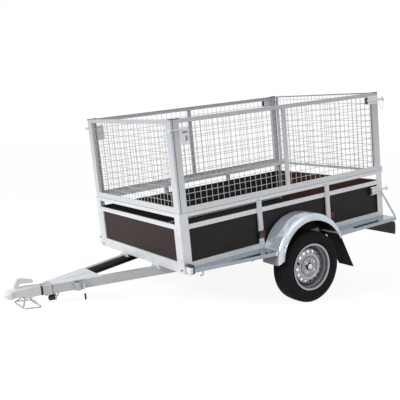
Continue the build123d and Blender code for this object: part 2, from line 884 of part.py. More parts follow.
# Handle of the coupling: a thick bowed lever that rises from the hood and runs back over it
handle_front = coupling_ball_x - handle_foot_back
handle_rear = handle_front - handle_length
grip_top = coupling_top + handle_rise
handle_outline = make_face(
    Polyline(
        (handle_front, coupling_top - coupling_round),
        (handle_front, coupling_top + handle_leg),
        (handle_front - handle_leg, grip_top),
        (handle_front - 2 * handle_leg, grip_top),
        (handle_rear, grip_top - handle_fall),
        (handle_rear, grip_top - handle_fall - handle_end_depth),
        (handle_front - 1.5 * handle_leg, grip_top - handle_depth),
        (handle_front - handle_leg, coupling_top + handle_round),
        (handle_front - handle_leg, coupling_top - coupling_round),
        close=True,
    )
)
handle_outline = fillet(handle_outline.vertices().filter_by(lambda v: v.Y > coupling_top), handle_round)
handle = extrude(Plane.XZ * handle_outline, handle_width / 2, both=True) - coupling

# Parking foot: a bent loop on four legs under the tongue
foot_place = Pos(foot_centre_x, 0, foot_centre_z) * Rot(0, -nose_down, 0)
loop_line = foot_place * RectangleRounded(foot_length, 2 * foot_half_width, foot_bend).wire()
loop_start = loop_line.edges()[0]
loop = sweep(
    Plane(loop_start @ 0.5, z_dir=loop_start % 0.5) * Circle(foot_rod / 2), loop_line
)
foot = loop
for x_side in (-1, 1):
    for y_side in (-1, 1):
        base = foot_place * Pos(x_side * foot_length / 2, y_side * (foot_half_width - foot_bend), 0)
        top_x = foot_centre_x + x_side * foot_length * foot_leg_share
        top = (top_x, y_side * foot_leg_half_top, tongue_bottom + foot_rod)
        leg = rod(tuple(base.position), top, foot_rod / 2)
        foot += leg - block(
            (coupling_rear_x, tip_x), (-foot_half_width, foot_half_width), (tongue_bottom, tongue_top)
        )

# Nose wheel clamp on the left beam: a split ring on a plate, with a screw and a hanging grip
clamp_along = (clamp_x - beam_tip_x) / cos(radians(beam_lean))
clamp_reach = clamp_plate + clamp_bore_radius + clamp_wall
clamp_place = beam_place * Pos(clamp_along, 0, clamp_top - clamp_height)
ring_radius = clamp_bore_radius + clamp_wall
ear_end = -ring_radius - clamp_ear
ear_low = clamp_reach - clamp_slit / 2 - clamp_wall
ear_high = clamp_reach + clamp_slit / 2 + clamp_wall
clamp = Pos(0, clamp_reach, 0) * extrude(Circle(ring_radius), clamp_height)
clamp += block((-ring_radius, ring_radius), (0, clamp_plate), (0, clamp_height))
clamp += block((-clamp_bore_radius, clamp_bore_radius), (0, clamp_reach), (0, clamp_height))
clamp += block((ear_end, 0), (ear_low, ear_high), (0, clamp_height))
clamp -= Pos(0, clamp_reach, -1) * extrude(Circle(clamp_bore_radius), clamp_height + 2)
clamp -= block((ear_end - 1, 0), (ear_low + clamp_wall, ear_high - clamp_wall), (-1, clamp_height + 1))
screw_x = ear_end + clamp_ear / 2
screw_z = clamp_height / 2
screw_bore = rod((screw_x, ear_low - 1, screw_z), (screw_x, ear_high + 1, screw_z), screw_radius)
clamp = clamp_place * (clamp - screw_bore)
eye_y = ear_high + screw_eye
clamp_screw = rod(
    (screw_x, ear_low - screw_tail, screw_z),
    (screw_x, ear_high + screw_past, screw_z),
    screw_radius - pin_clearance,
)
clamp_screw += rod((screw_x, eye_y, screw_z), (screw_x, eye_y, screw_z - grip_drop), grip_rod)
clamp_screw += rod(
    (screw_x, eye_y, screw_z - grip_drop), (screw_x, eye_y, screw_z - grip_drop - grip_length), grip_radius
)
clamp_screw = clamp_place * clamp_screw

# Plug parked in a collar under a folded holder, and its lead up into the tongue
plug_rear = plug_x - plug_length / 2
holder_x = (plug_x - holder_length / 2, plug_x + holder_length / 2)
holder_z = (tongue_bottom - holder_depth, tongue_bottom)
collar_ring = plug_radius + holder_wall
plug_line = ((plug_rear - 1, 0, plug_z), (plug_x + plug_length, 0, plug_z))
holder = block(holder_x, (-holder_half, holder_half), holder_z) - block(
    (holder_x[0] - 1, holder_x[1] + 1),
    (holder_wall - holder_half, holder_half - holder_wall),
    (holder_z[0] - 1, holder_z[1] - holder_wall),
)
holder += rod((plug_rear, 0, plug_z), (plug_rear + collar_length, 0, plug_z), collar_ring)
holder += block((plug_rear, plug_rear + collar_length), (-holder_half, holder_half), (plug_z, holder_z[1]))
holder -= rod(*plug_line, plug_radius)
plug = rod((plug_rear, 0, plug_z), (plug_x + plug_length / 2, 0, plug_z), plug_radius - pin_clearance)
lead_line = FilletPolyline(
    (plug_rear, 0, plug_z), (lead_x, 0, plug_z), (lead_x, 0, tongue_bottom + lead_reach), radius=lead_bend
)
lead = sweep(Plane(lead_line @ 0, z_dir=lead_line % 0) * Circle(lead_radius), lead_line)

# Torsion axle: a square tube hung from the side rails, trailing arms and stub axles
axle_half = axle_tube / 2
axle_x = (axle_tube_x - axle_half, axle_tube_x + axle_half)
axle_z_span = (axle_tube_z - axle_half, axle_tube_z + axle_half)
foot_x = (axle_tube_x - axle_foot_length / 2, axle_tube_x + axle_foot_length / 2)
foot_y = (body_half - rail_flange - axle_foot_step, body_half - sheet)
arm_inner = body_half - arm_inset
axle_foot = block(foot_x, foot_y, (rail_bottom - axle_foot_sheet, rail_bottom))
for y in (foot_y[0], foot_y[0] + axle_foot_step):
    axle_foot += block(foot_x, (y, y + axle_foot_sheet), (axle_z_span[1], rail_bottom))
axle_beam = block(axle_x, (-arm_inner, arm_inner), axle_z_span) - block(
    (axle_x[0] + axle_tube_wall, axle_x[1] - axle_tube_wall),
    (-arm_inner - 1, arm_inner + 1),
    (axle_z_span[0] + axle_tube_wall, axle_z_span[1] - axle_tube_wall),
)
axle_beam += [axle_foot, mirrored(axle_foot)]

hub_face = wheel_plane + wheel_offset
hub_inner = hub_face - hub_length
arm_outer = arm_inner + arm_thickness
arm_pivot = Pos(axle_tube_x, axle_tube_z) * Circle(arm_pivot_radius)
arm_end = Pos(0, axle_z) * Circle(arm_end_radius)
arm_plan = make_hull(arm_pivot.edges() + arm_end.edges())
arm = extrude(Plane((0, arm_inner, 0), x_dir=(1, 0, 0), z_dir=(0, -1, 0)) * arm_plan, -arm_thickness)
spindle_end = hub_face - hub_flange
arm += pivot_bar(0, (arm_outer - 1, spindle_end), axle_z, spindle_radius)
arms = pair(arm)

# Wheels: hub, pressed steel disc wheel and tyre
hub_profile = make_face(
    Polyline(
        (spindle_radius + spindle_clearance, hub_inner),
        (hub_radius, hub_inner),
        (hub_radius, hub_face - hub_flange),
        (hub_flange_radius, hub_face - hub_flange),
        (hub_flange_radius, hub_face),
        (hub_cap_radius, hub_face),
        (hub_cap_radius, hub_face + hub_cap_length),
        (0, hub_face + hub_cap_length),
        (0, spindle_end + 1),
        (spindle_radius + spindle_clearance, spindle_end + 1),
        close=True,
    )
)
hub = about_wheel(hub_profile, axle_z)

bead_radius = rim_radius - rim_seat_drop
well_radius = rim_radius - rim_well_drop
half = rim_half_width
rim_line = Polyline(
    (rim_radius, -half),
    (bead_radius, rim_lip - half),
    (bead_radius, rim_seat[0] - half),
    (well_radius, rim_well[0] - half),
    (well_radius, half - rim_well[1]),
    (bead_radius, half - rim_seat[1]),
    (bead_radius, half - rim_lip),
    (rim_radius, half),
)
disc_face = wheel_offset + rim_sheet / 2
disc_line = Polyline(
    (well_radius - rim_sheet / 2, disc_face - disc_dish),
    (vent_circle_radius + disc_ring_half, disc_face - disc_ring_fall),
    (vent_circle_radius - disc_ring_half, disc_face + disc_ring_rise),
    (vent_circle_radius - disc_ring_crest, disc_face + disc_ring_rise),
    (hub_flange_radius + disc_pad, disc_face),
    (hub_hole_radius, disc_face),
)
wheel_section = trace(rim_line, rim_sheet) + trace(disc_line, rim_sheet)


def drilled(radius, circle_radius, count, first):
    """Drills on a circle about the wheel's axis, through its whole width."""
    drill = Pos(circle_radius, 0, 0) * Rot(90, 0, 0) * Cylinder(radius, 4 * rim_half_width)
    return [Rot(0, first + turn * 360 / count, 0) * drill for turn in range(count)]


rim = revolve(wheel_section, Axis.Y)
rim -= drilled(vent_radius, vent_circle_radius, vent_count, 0)
rim -= drilled(bolt_hole_radius, bolt_circle_radius, bolt_count, 180 / bolt_count)
rim = Pos(0, wheel_plane, axle_z) * rim

tyre_half = tyre_width / 2
bead_half = rim_half_width - rim_lip - rim_sheet
bead_low = bead_radius + rim_sheet / 2 + tyre_bead_gap
bead_high = rim_radius + tyre_bead_rise
bulge_radius = rim_radius + tyre_bulge_rise
shoulder, edge, crown = [
    (tyre_radius - drop, tyre_half - inset) for drop, inset in (tyre_shoulder, tyre_edge, tyre_crown)
]


def across(point):
    """The same point on the tyre's other side."""
    return point[0], -point[1]


tyre_side = [
    Line((bead_low, bead_half), (bead_high, bead_half)),
    ThreePointArc((bead_high, bead_half), (bulge_radius, tyre_half), shoulder),
    ThreePointArc(shoulder, edge, crown),
]
tyre_far_side = [
    Line((bead_low, -bead_half), (bead_high, -bead_half)),
    ThreePointArc((bead_high, -bead_half), (bulge_radius, -tyre_half), across(shoulder)),
    ThreePointArc(across(shoulder), across(edge), across(crown)),
]
tyre_profile = make_face(
    tyre_side
    + tyre_far_side
    + [
        Line((bead_low, -bead_half), (bead_low, bead_half)),
        ThreePointArc(crown, (tyre_radius, 0), across(crown)),
    ]
)
cavity_half = tyre_half - side_wall
cavity_mouth = bead_half - 2 * side_wall
cavity_low = (bead_low - 1, cavity_mouth)
cavity_bead = (rim_radius + cavity_bead_rise, cavity_mouth)
cavity_bulge = (rim_radius + cavity_bulge_rise, cavity_half)
cavity_corner = (tyre_radius - tread_wall, cavity_half - cavity_shoulder)
cavity = make_face(
    [
        Line(across(cavity_low), cavity_low),
        Line(cavity_low, cavity_bead),
        ThreePointArc(cavity_bead, cavity_bulge, cavity_corner),
        Line(cavity_corner, across(cavity_corner)),
        ThreePointArc(across(cavity_corner), across(cavity_bulge), across(cavity_bead)),
        Line(across(cavity_bead), across(cavity_low)),
    ]
)
tyre = Pos(0, wheel_plane, axle_z) * revolve(tyre_profile - cavity, Axis.Y)

# Lamps, reflectors and the struts that brace the rear ledges
board_front = body_rear + lamp_board_inset + sheet
board_bottom = rail_bottom - lamp_board_height
lamp_board_reach = body_half + lamp_board_past
lamp_board = block(
    (board_front - sheet, board_front), (-lamp_board_reach, lamp_board_reach), (board_bottom, rail_bottom)
)
lamp_outer = lamp_board_reach - tail_lamp_edge
tail_lamp = block(
    (board_front - sheet - tail_lamp_depth, board_front - sheet),
    (lamp_outer - tail_lamp_width, lamp_outer),
    (board_bottom + tail_lamp_lift, board_bottom + tail_lamp_lift + tail_lamp_height),
)
tail_lamp = fillet(tail_lamp.edges().filter_by(Axis.X), tail_lamp_round)
front_face = body_front - ledge_front_inset
lamp_y = post_half + front_lamp_size / 2
lamp_low = ledge_bottom - front_lamp_drop
lens_x = (front_face + front_lamp_body, front_face + front_lamp_body + front_lamp_lens)
lens_half = front_lamp_size / 2 - front_lamp_step
lens_top = lamp_low + front_lamp_size - front_lamp_step
front_lamp_box = block(
    (front_face, lens_x[0]),
    (lamp_y - front_lamp_size / 2, lamp_y + front_lamp_size / 2),
    (lamp_low, lens_top),
)
front_lamp_box += block(
    (front_face, lens_x[1]),
    (lamp_y - front_lamp_size / 2, lamp_y + front_lamp_size / 2),
    (lens_top, lens_top + front_lamp_hood),
)
front_lens = block(lens_x, (lamp_y - lens_half, lamp_y + lens_half), (lamp_low, lens_top))
reflector_z = (rail_top + reflector_lift - reflector_height, rail_top + reflector_lift)
front_reflector = block(
    (front_stake_x - reflector_length / 2, front_stake_x + reflector_length / 2),
    (body_half + stake_depth, body_half + stake_depth + reflector_depth),
    reflector_z,
)
rear_reflector_x = rear_stake_x - stake_width / 2 - reflector_gap
rear_reflector = block(
    (rear_reflector_x - reflector_length, rear_reflector_x),
    (panel_outer, panel_outer + reflector_depth),
    reflector_z,
)
strut_x = body_rear + strut_inset
strut_run = ledge_reach_rear - sheet
strut_angle = degrees(atan2(strut_rise, strut_run))
strut_middle = Pos(strut_x, post_half + strut_run / 2, ledge_top + strut_rise / 2)
strut = strut_middle * Rot(-strut_angle, 0, 0) * Box(
    strut_thickness, 2 * hypot(strut_run, strut_rise), strut_width
)
strut &= block(
    (strut_x - strut_thickness, strut_x + strut_thickness),
    (post_half, body_half + ledge_reach_rear),
    (ledge_top, ledge_top + strut_rise + strut_past),
)


# Corner latches: a plate on the corner's side face, a barrel along it and a lever past the end
def barrel(face, z, start, end, radius):
    """The bolt of a latch, along x and just sunk in the plate on this face."""
    y = face + latch_plate + radius - latch_barrel_sink
    return rod((start, y, z), (end, y, z), radius), y


def latch(face, z):
    """A rear latch with its lever behind the corner post."""
    near = body_rear + latch_plate_inset
    far = body_rear - latch_reach
    half_height = latch_plate_height / 2
    plate = block(
        (near, near + latch_plate_length), (face, face + latch_plate), (z - half_height, z + half_height)
    )
    bolt, y = barrel(face, z, near + latch_plate_length, far, latch_barrel_radius)
    lever_x = far + 2 * latch_lever_radius
    lever = rod(
        (lever_x, y, z - latch_lever_length / 2), (lever_x, y, z + latch_lever_length / 2), latch_lever_radius
    )
    return plate + bolt + lever


def catch(face, z):
    """A front catch: an upright plate behind the post and a bolt that ends in a knob."""
    near = body_front - catch_plate_inset
    far = body_front + catch_reach
    plate = block(
        (near - catch_plate_width, near),
        (face, face + latch_plate),
        (z - catch_plate_below, z + catch_plate_above),
    )
    bolt, y = barrel(face, z, near - catch_bolt_lap, far, catch_bolt_radius)
    return plate + bolt + rod((far - catch_knob_length, y, z), (far, y, z), catch_knob_radius)


latches = group(
    pair(latch(body_half, cage_top - cage_latch_drop)),
    pair(catch(body_half, cage_top - catch_drop)),
    pair(latch(post_half, panel_top - tailgate_latch_drop)),
)

# Nodes, still level
nodes = {
    "drawbar_beams": pair(beam),
    "drawbar_tongue": tongue,
    "drawbar_gusset": gusset,
    "drawbar_brackets": group(pair(rail_bracket), pair(member_bracket)),
    "coupling_head": coupling,
    "coupling_handle": handle,
    "parking_foot": foot,
    "stand_clamp": clamp,
    "clamp_screw": clamp_screw,
    "plug_holder": holder,
    "plug": plug,
    "plug_lead": lead,
    "axle_beam": axle_beam,
    "swing_arms": arms,
    "front_rail": front_rail,
    "rear_rail": rear_rail,
    "side_rails": pair(side_rail),
    "cross_members": cross_members,
    "floor": floor,
    "front_panel": front_panel,
    "side_panels": pair(side_panel),
    "panel_rails": panel_rails,
    "lash_rails": lash_rails,
    "front_stiles": pair(stile),
    "front_posts": pair(front_post),
    "rear_posts": pair(rear_post),
    "stakes": stakes,
    "ledges": ledges,
    "mudguard_left": mudguard,
    "mudguard_right": mirrored(mudguard),
    "mudguard_stays": stays,
    "mud_flaps": pair(flap),
    "lamp_board": lamp_board,
    "tail_lamps": pair(tail_lamp),
    "front_lamp_bodies": pair(front_lamp_box),
    "front_lamp_lenses": pair(front_lens),
    "reflectors": group(pair(front_reflector), pair(rear_reflector)),
    "ledge_struts": pair(strut),
    "cage_left": cage_side,
    "cage_right": mirrored(cage_side),
    "cage_front": cage_front,
    "mesh_left": side_wires,
    "mesh_right": mirrored(side_wires),
    "mesh_front": front_wires,
    "latches": latches,
    "tailgate_hinges": tailgate_hinges,
    "tailgate_panel": tailgate_panel,
    "tailgate_frame": tailgate_frame,
    "tailgate_straps": tailgate_straps,
    "gate_brackets": pair(gate_bracket),
    "rear_gate_frame": rear_gate_frame,
    "rear_gate_mesh": rear_gate_wires,
    "rear_gate_lugs": pair(gate_lug),
    "hub_left": hub,
    "rim_left": rim,
    "tyre_left": tyre,
    "hub_right": mirrored(hub),
    "rim_right": mirrored(rim),
    "tyre_right": mirrored(tyre),
}

# Parked: nose down about the axle until the foot is on the road, then centred over the origin
tipped = Pos(0, 0, axle_z) * Rot(0, nose_down, 0) * Pos(0, 0, -axle_z)
boxes = [(tipped * shape).bounding_box() for shape in nodes.values()]
middle_x = (max(box.max.X for box in boxes) + min(box.min.X for box in boxes)) / 2
parked = Pos(-middle_x, 0, 0) * tipped

os.makedirs("parts", exist_ok=True)
for name, shape in nodes.items():
    export_step(parked * shape, f"parts/{name}.step")

places = {
    "wheel axis": (0, wheel_plane, axle_z),
    "tailgate pivot": (tailgate_pivot_x, 0, tailgate_pivot_z),
    "rear gate pivot": (rear_pivot_x, 0, rear_pivot_z),
    "coupling socket": (coupling_ball_x, 0, coupling_lip),
    "clamp bore": tuple((clamp_place * Pos(0, clamp_reach, 0)).position),
}
for name, point in places.items():
    x, y, z = (parked * Pos(*point)).position
    print(f"{name}: {x:.3f} {y:.3f} {z:.3f}")
print(f"nose down {nose_down:.3f} degrees, middle {middle_x:.3f}")
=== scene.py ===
"""The parked utility trailer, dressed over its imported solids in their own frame."""
import json
import math

import bmesh
import bpy
from mathutils import Matrix, Vector


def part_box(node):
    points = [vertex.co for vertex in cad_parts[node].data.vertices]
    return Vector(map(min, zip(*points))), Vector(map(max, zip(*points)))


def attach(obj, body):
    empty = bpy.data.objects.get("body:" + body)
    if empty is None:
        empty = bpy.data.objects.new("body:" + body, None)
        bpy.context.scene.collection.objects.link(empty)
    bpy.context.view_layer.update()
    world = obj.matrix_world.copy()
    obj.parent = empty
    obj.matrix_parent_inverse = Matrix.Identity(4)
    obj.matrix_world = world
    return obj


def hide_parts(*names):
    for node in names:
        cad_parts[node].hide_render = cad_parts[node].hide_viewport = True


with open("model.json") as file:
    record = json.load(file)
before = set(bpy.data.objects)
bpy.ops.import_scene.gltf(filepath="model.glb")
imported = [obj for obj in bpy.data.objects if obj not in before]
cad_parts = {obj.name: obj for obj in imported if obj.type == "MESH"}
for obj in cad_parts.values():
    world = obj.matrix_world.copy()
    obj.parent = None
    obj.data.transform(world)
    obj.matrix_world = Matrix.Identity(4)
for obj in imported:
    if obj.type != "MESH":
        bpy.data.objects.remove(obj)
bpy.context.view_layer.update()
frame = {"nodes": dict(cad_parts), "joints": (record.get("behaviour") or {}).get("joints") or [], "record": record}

# How the trailer stands: on its two tyres, with its nose down on the bent-rod foot.
# Places below are taken level, as on the road: x ahead of the axle, y to the left, z up from the road.
record = frame["record"]
axle = Vector(next(j for j in frame["joints"] if j["name"] == "wheel_left_spin")["pos_m"])
floor_up = Vector(next(m for m in record["mounts"] if m["name"] == "load_floor")["axis"]).normalized()
ahead = Vector((floor_up.z, 0.0, -floor_up.x))
to_left = Vector((0.0, 1.0, 0.0))
nose_down = math.atan2(floor_up.x, floor_up.z)
tyre_low, tyre_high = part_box("tyre_left")
tyre_radius = (tyre_high.z - tyre_low.z) / 2
level = Matrix((ahead, to_left, floor_up)).transposed().to_4x4()
level.translation = Vector((axle.x, 0.0, axle.z)) - floor_up * tyre_radius
to_level = level.inverted()


def level_box(node):
    """Low and high corner of a CAD node, measured level."""
    points = [to_level @ vertex.co for vertex in frame["nodes"][node].data.vertices]
    low = Vector(min(point[axis] for point in points) for axis in range(3))
    high = Vector(max(point[axis] for point in points) for axis in range(3))
    return low, high


# Galvanised steel: the rails, posts and cage frames are folded sheet, dipped in zinc after welding.
# The zinc freezes in flakes of slightly different greys, clouds over broadly and runs a little downwards.
zinc_light = (0.80, 0.815, 0.825)
zinc_dark = (0.64, 0.665, 0.69)
flakes_per_metre = 55.0
zinc_metal = 0.42
zinc_rough = 0.34
zinc_pits = 0.00012
# The cage's zinc is duller, and from a height up painted shade darkens it toward the top.
aged_light = (0.72, 0.74, 0.765)
aged_dark = (0.57, 0.595, 0.625)
painted_top_shade = (0.455, 0.475, 0.50)
top_shade_from = 0.90
top_shade_per_metre = 1.5


class Shade:
    """A socket in a material. Operators add Math nodes, and node() adds any other node."""

    def __init__(self, tree, socket=None):
        self.tree = tree
        self.socket = socket

    def feed(self, socket, value):
        if isinstance(value, Shade):
            self.tree.links.new(value.socket, socket)
        elif socket.type == "RGBA":
            socket.default_value = (*value, 1.0)
        else:
            socket.default_value = value

    def node(self, kind, sockets=None, output=0, stops=None, **settings):
        made = self.tree.nodes.new("ShaderNode" + kind)
        for key, value in settings.items():
            setattr(made, key, value)
        if stops:
            elements = made.color_ramp.elements
            while len(elements) < len(stops):
                elements.new(1.0)
            for element, (place, colour) in zip(elements, stops):
                element.position = place
                element.color = (*colour, 1.0)
        for key, value in (sockets or {}).items():
            self.feed(made.inputs[key], value)
        return Shade(self.tree, made.outputs[output])

    def sum(self, operation, first, second):
        return self.node("Math", {0: first, 1: second}, operation=operation)

    def __add__(self, other):
        return self.sum("ADD", self, other)

    __radd__ = __add__

    def __sub__(self, other):
        return self.sum("SUBTRACT", self, other)

    def __rsub__(self, other):
        return self.sum("SUBTRACT", other, self)

    def __mul__(self, other):
        return self.sum("MULTIPLY", self, other)

    __rmul__ = __mul__

    def __gt__(self, other):
        return self.sum("GREATER_THAN", self, other)

    def __lt__(self, other):
        return self.sum("LESS_THAN", self, other)

    def blend(self, low, high):
        """The colour that is low where this value is 0 and high where it is 1."""
        return self.node("Mix", {0: self, 6: low, 7: high}, output=2, data_type="RGBA")


def finish(name, look):
    """A procedural material: look(shade, place) gives its shader's sockets, with place taken level."""
    material = bpy.data.materials.new(name)
    material.use_nodes = True
    tree = material.node_tree
    shader = tree.nodes["Principled BSDF"]
    shade = Shade(tree)
    spot = shade.node("TexCoord", output="Object")
    place = shade.node(
        "Mapping",
        {"Vector": spot, "Location": to_level.translation, "Rotation": (0.0, -nose_down, 0.0)},
    )
    for key, value in look(shade, place).items():
        shade.feed(shader.inputs[key], value)
    return material


def dress(node, material):
    """Gives a CAD node its finish."""
    frame["nodes"][node].data.materials[0] = material


def along(shade, place, axis):
    """The place along one axis: X, Y or Z."""
    return shade.node("SeparateXYZ", {"Vector": place}, output=axis)


def off_middle(shade, place):
    """The distance from the trailer's middle plane, the same on the left and on the right."""
    return shade.node("Math", {0: along(shade, place, "Y")}, operation="ABSOLUTE")


def grain(shade, place, stretch, scale, detail=3.0):
    """Noise drawn out along an axis: a small number in stretch makes it long that way."""
    drawn = shade.node("VectorMath", {0: place, 1: stretch}, operation="MULTIPLY")
    return shade.node("TexNoise", {"Vector": drawn, "Scale": scale, "Detail": detail})


def mottle(shade, place, scale):
    """Noise that is even in all directions."""
    return grain(shade, place, (1.0, 1.0, 1.0), scale)


def dent(shade, height, depth):
    """A bump of this depth in metres."""
    return shade.node("Bump", {"Height": height, "Strength": 1.0, "Distance": depth}, output="Normal")


def zinc(shade, place, light=zinc_light, dark=zinc_dark, flakes=flakes_per_metre,
         metal=zinc_metal, rough=zinc_rough, pits=zinc_pits):
    """Dipped zinc: flakes, clouds and runs, over fine pits of this depth."""
    flake_colour = shade.node("TexVoronoi", {"Vector": place, "Scale": flakes}, output="Color")
    flake = shade.node("SeparateColor", {"Color": flake_colour})
    cloud = mottle(shade, place, 4.5)
    runs = grain(shade, place, (1.0, 1.0, 0.08), 38.0)
    speck = mottle(shade, place, 320.0)
    tone = flake * 0.36 + cloud * 0.5 + runs * 0.3 - 0.08
    return {
        "Base Color": tone.blend(dark, light),
        "Metallic": metal,
        "Roughness": (flake * 0.3 + cloud * 0.35 + 1.0) * rough,
        "Normal": dent(shade, speck + flake * 0.5, pits),
    }


def aged_zinc_shaded_top(shade, place):
    """Zinc that has dulled in the weather, with painted shade that darkens it toward the top: the cage, the stakes
    and the gusset.
    """
    looks = zinc(shade, place, aged_light, aged_dark)
    height = along(shade, place, "Z")
    # Painted shade: above this height the colour darkens toward the top, as the lower rails catch more of the
    # floor's light.
    top_shade = shade.node("Clamp", {"Value": (height - top_shade_from) * top_shade_per_metre})
    looks["Base Color"] = top_shade.blend(looks["Base Color"], painted_top_shade)
    return looks


galvanised = finish("galvanised_sheet", zinc)
slot_of = {part["node"]: part["material_slot"] for part in record["subparts"]}
for node, slot in slot_of.items():
    if slot == "galvanised":
        dress(node, galvanised)
aged_shaded = finish("aged_shaded_zinc", aged_zinc_shaded_top)
aged_shaded_nodes = ("cage_left", "cage_right", "cage_front", "rear_gate_frame", "stakes", "drawbar_gusset")
for node in aged_shaded_nodes:
    dress(node, aged_shaded)


# Drawbar: two deep channels of folded steel, open sides facing in, that meet at the tongue's box section.
# Inside the channels the colour is painted shade, grey under the top flange to black at the foot, and the zinc
# there is duller, so the open side reads almost black.
# The beams' zinc is painted darker than the rails', as shade on their outer sides.
beam_shade_light = (0.50, 0.505, 0.52)
beam_shade_dark = (0.385, 0.39, 0.405)
channel_shade_top = (0.135, 0.138, 0.142)
channel_shade_foot = (0.010, 0.010, 0.011)
beam_wall = 0.0035
tongue_light = (0.82, 0.82, 0.83)
tongue_dark = (0.67, 0.67, 0.68)
beam_past_tongue = 0.012
beam_low, beam_high = level_box("drawbar_beams")
beam_tip_half = level_box("drawbar_tongue")[1].y + beam_past_tongue
beam_lean = 0.2963


def beam_zinc(shade, place):
    """Zinc with painted shade inside the channel, behind the web and between the flanges: grey at the top, black
    at the foot.
    """
    looks = zinc(shade, place, beam_shade_light, beam_shade_dark)
    x = along(shade, place, "X")
    z = along(shade, place, "Z")
    outer = beam_tip_half + (beam_high.x - x) * beam_lean
    behind_web = (outer - off_middle(shade, place)) > beam_wall
    inside = behind_web * (z > beam_low.z + beam_wall) * (z < beam_high.z - beam_wall)
    # Painted shade: grey under the top flange, black at the foot.
    height = (z - beam_low.z) * (1 / (beam_high.z - beam_low.z))
    looks["Base Color"] = inside.blend(looks["Base Color"], height.blend(channel_shade_foot, channel_shade_top))
    looks["Metallic"] = zinc_metal - inside * zinc_metal
    looks["Roughness"] = looks["Roughness"] + inside * 0.3
    return looks


def tongue_zinc(shade, place):
    """The tongue's box section, a little lighter than the beams."""
    return zinc(shade, place, tongue_light, tongue_dark)


dress("drawbar_beams", finish("drawbar_zinc", beam_zinc))
dress("drawbar_tongue", finish("tongue_zinc", tongue_zinc))


# Ply: birch boards faced with dark brown phenolic film, smooth outside, with a trace of the grain beneath.
# The floor's upper face is pressed with a fine non-slip lattice.
film_light = (0.034, 0.029, 0.027)
film_dark = (0.017, 0.0155, 0.015)
front_film_light = (0.042, 0.026, 0.023)
front_film_dark = (0.019, 0.013, 0.012)
red_film_light = (0.068, 0.029, 0.026)
red_film_dark = (0.040, 0.018, 0.016)
lattice_per_metre = 230.0
lattice_depth = 0.0008


def film(shade, place, light=film_light, dark=film_dark):
    """Phenolic film: long faint grain, scuffs and a soft gloss."""
    wood = grain(shade, place, (0.12, 0.12, 1.0), 46.0, 5.0)
    cloud = mottle(shade, place, 3.0)
    scuff = grain(shade, place, (0.3, 0.3, 1.4), 130.0)
    tone = wood * 0.7 + cloud * 0.6 - 0.25
    return {
        "Base Color": tone.blend(dark, light),
        "Roughness": 0.42 + cloud * 0.16 + scuff * 0.06,
        "Specular IOR Level": 0.16,
        "Normal": dent(shade, wood + scuff * 0.4, 0.00015),
    }


def non_slip(shade, place):
    """The floor's film, with its pressed lattice."""
    looks = film(shade, place)
    weave = shade.node(
        "TexVoronoi",
        {"Vector": place, "Scale": lattice_per_metre, "Randomness": 0.0},
        feature="DISTANCE_TO_EDGE",
    )
    looks["Normal"] = dent(shade, weave, lattice_depth)
    looks["Roughness"] = 0.5 + weave * 0.2
    return looks


def red_film(shade, place):
    """The tailgate's board, faced with a redder film."""
    return film(shade, place, red_film_light, red_film_dark)


def front_film(shade, place):
    """The front board, whose film is a warmer brown."""
    return film(shade, place, front_film_light, front_film_dark)


dress("side_panels", finish("brown_film", film))
dress("front_panel", finish("front_film", front_film))
dress("tailgate_panel", finish("red_brown_film", red_film))
dress("floor", finish("non_slip_film", non_slip))


# Mesh: 4 mm galvanised wires, level ones against the frame and upright ones behind, welded where they cross.
# Each panel's wires are drawn to the pitch and reach of the solid that they stand for.
wire_light = (0.60, 0.605, 0.605)
wire_dark = (0.42, 0.43, 0.435)
wire = 0.004
wire_gap = 0.0003
mesh_pitch = 0.05
side_mesh_middle = 0.020
crease = math.radians(32)


class Growth:
    """A Geometry Nodes tree: add() makes a node, size() gives an input, and grow() runs it on a mesh."""

    def __init__(self, name, **sizes):
        self.tree = bpy.data.node_groups.new(name, "GeometryNodeTree")
        sockets = self.tree.interface
        sockets.new_socket("Shape", in_out="INPUT", socket_type="NodeSocketGeometry")
        for size, value in sizes.items():
            kind = "NodeSocketInt" if isinstance(value, int) else "NodeSocketFloat"
            sockets.new_socket(size, in_out="INPUT", socket_type=kind)
        sockets.new_socket("Finish", in_out="INPUT", socket_type="NodeSocketMaterial")
        sockets.new_socket("Grown", in_out="OUTPUT", socket_type="NodeSocketGeometry")
        self.sizes = sizes
        self.inputs = self.tree.nodes.new("NodeGroupInput")
        self.outputs = self.tree.nodes.new("NodeGroupOutput")

    def size(self, name):
        return self.inputs.outputs[name]

    def add(self, kind, sockets, output=0, **settings):
        made = self.tree.nodes.new(kind)
        for key, value in settings.items():
            setattr(made, key, value)
        for key, value in sockets.items():
            if isinstance(value, bpy.types.NodeSocket):
                self.tree.links.new(value, made.inputs[key])
            else:
                made.inputs[key].default_value = value
        return made.outputs[output]

    def end(self, grown):
        """Closes the tree: instances become one mesh, with the finish on every face."""
        real = self.add("GeometryNodeRealizeInstances", {"Geometry": grown})
        dressed = self.add("GeometryNodeSetMaterial", {"Geometry": real, "Material": self.size("Finish")})
        self.tree.links.new(dressed, self.outputs.inputs["Grown"])

    def grow(self, name, data, material, **sizes):
        """A plain mesh grown from another."""
        seed = bpy.data.objects.new(name + "_seed", data)
        bpy.context.scene.collection.objects.link(seed)
        modifier = seed.modifiers.new("growth", "NODES")
        modifier.node_group = self.tree
        values = {**self.sizes, **sizes, "Finish": material}
        for item in self.tree.interface.items_tree:
            if item.in_out == "INPUT" and item.name in values:
                modifier[item.identifier] = values[item.name]
        bpy.context.view_layer.update()
        graph = bpy.context.evaluated_depsgraph_get()
        mesh = bpy.data.meshes.new_from_object(seed.evaluated_get(graph))
        seed.modifiers.remove(modifier)
        bpy.data.objects.remove(seed)
        mesh.name = name
        return mesh


def add_piece(name, mesh, body, material=None):
    """Links a mesh drawn level as a piece of the trailer that rides on a body."""
    mesh.transform(level)
    if material:
        mesh.materials.clear()
        mesh.materials.append(material)
    piece = bpy.data.objects.new(name, mesh)
    bpy.context.scene.collection.objects.link(piece)
    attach(piece, body)
    return piece


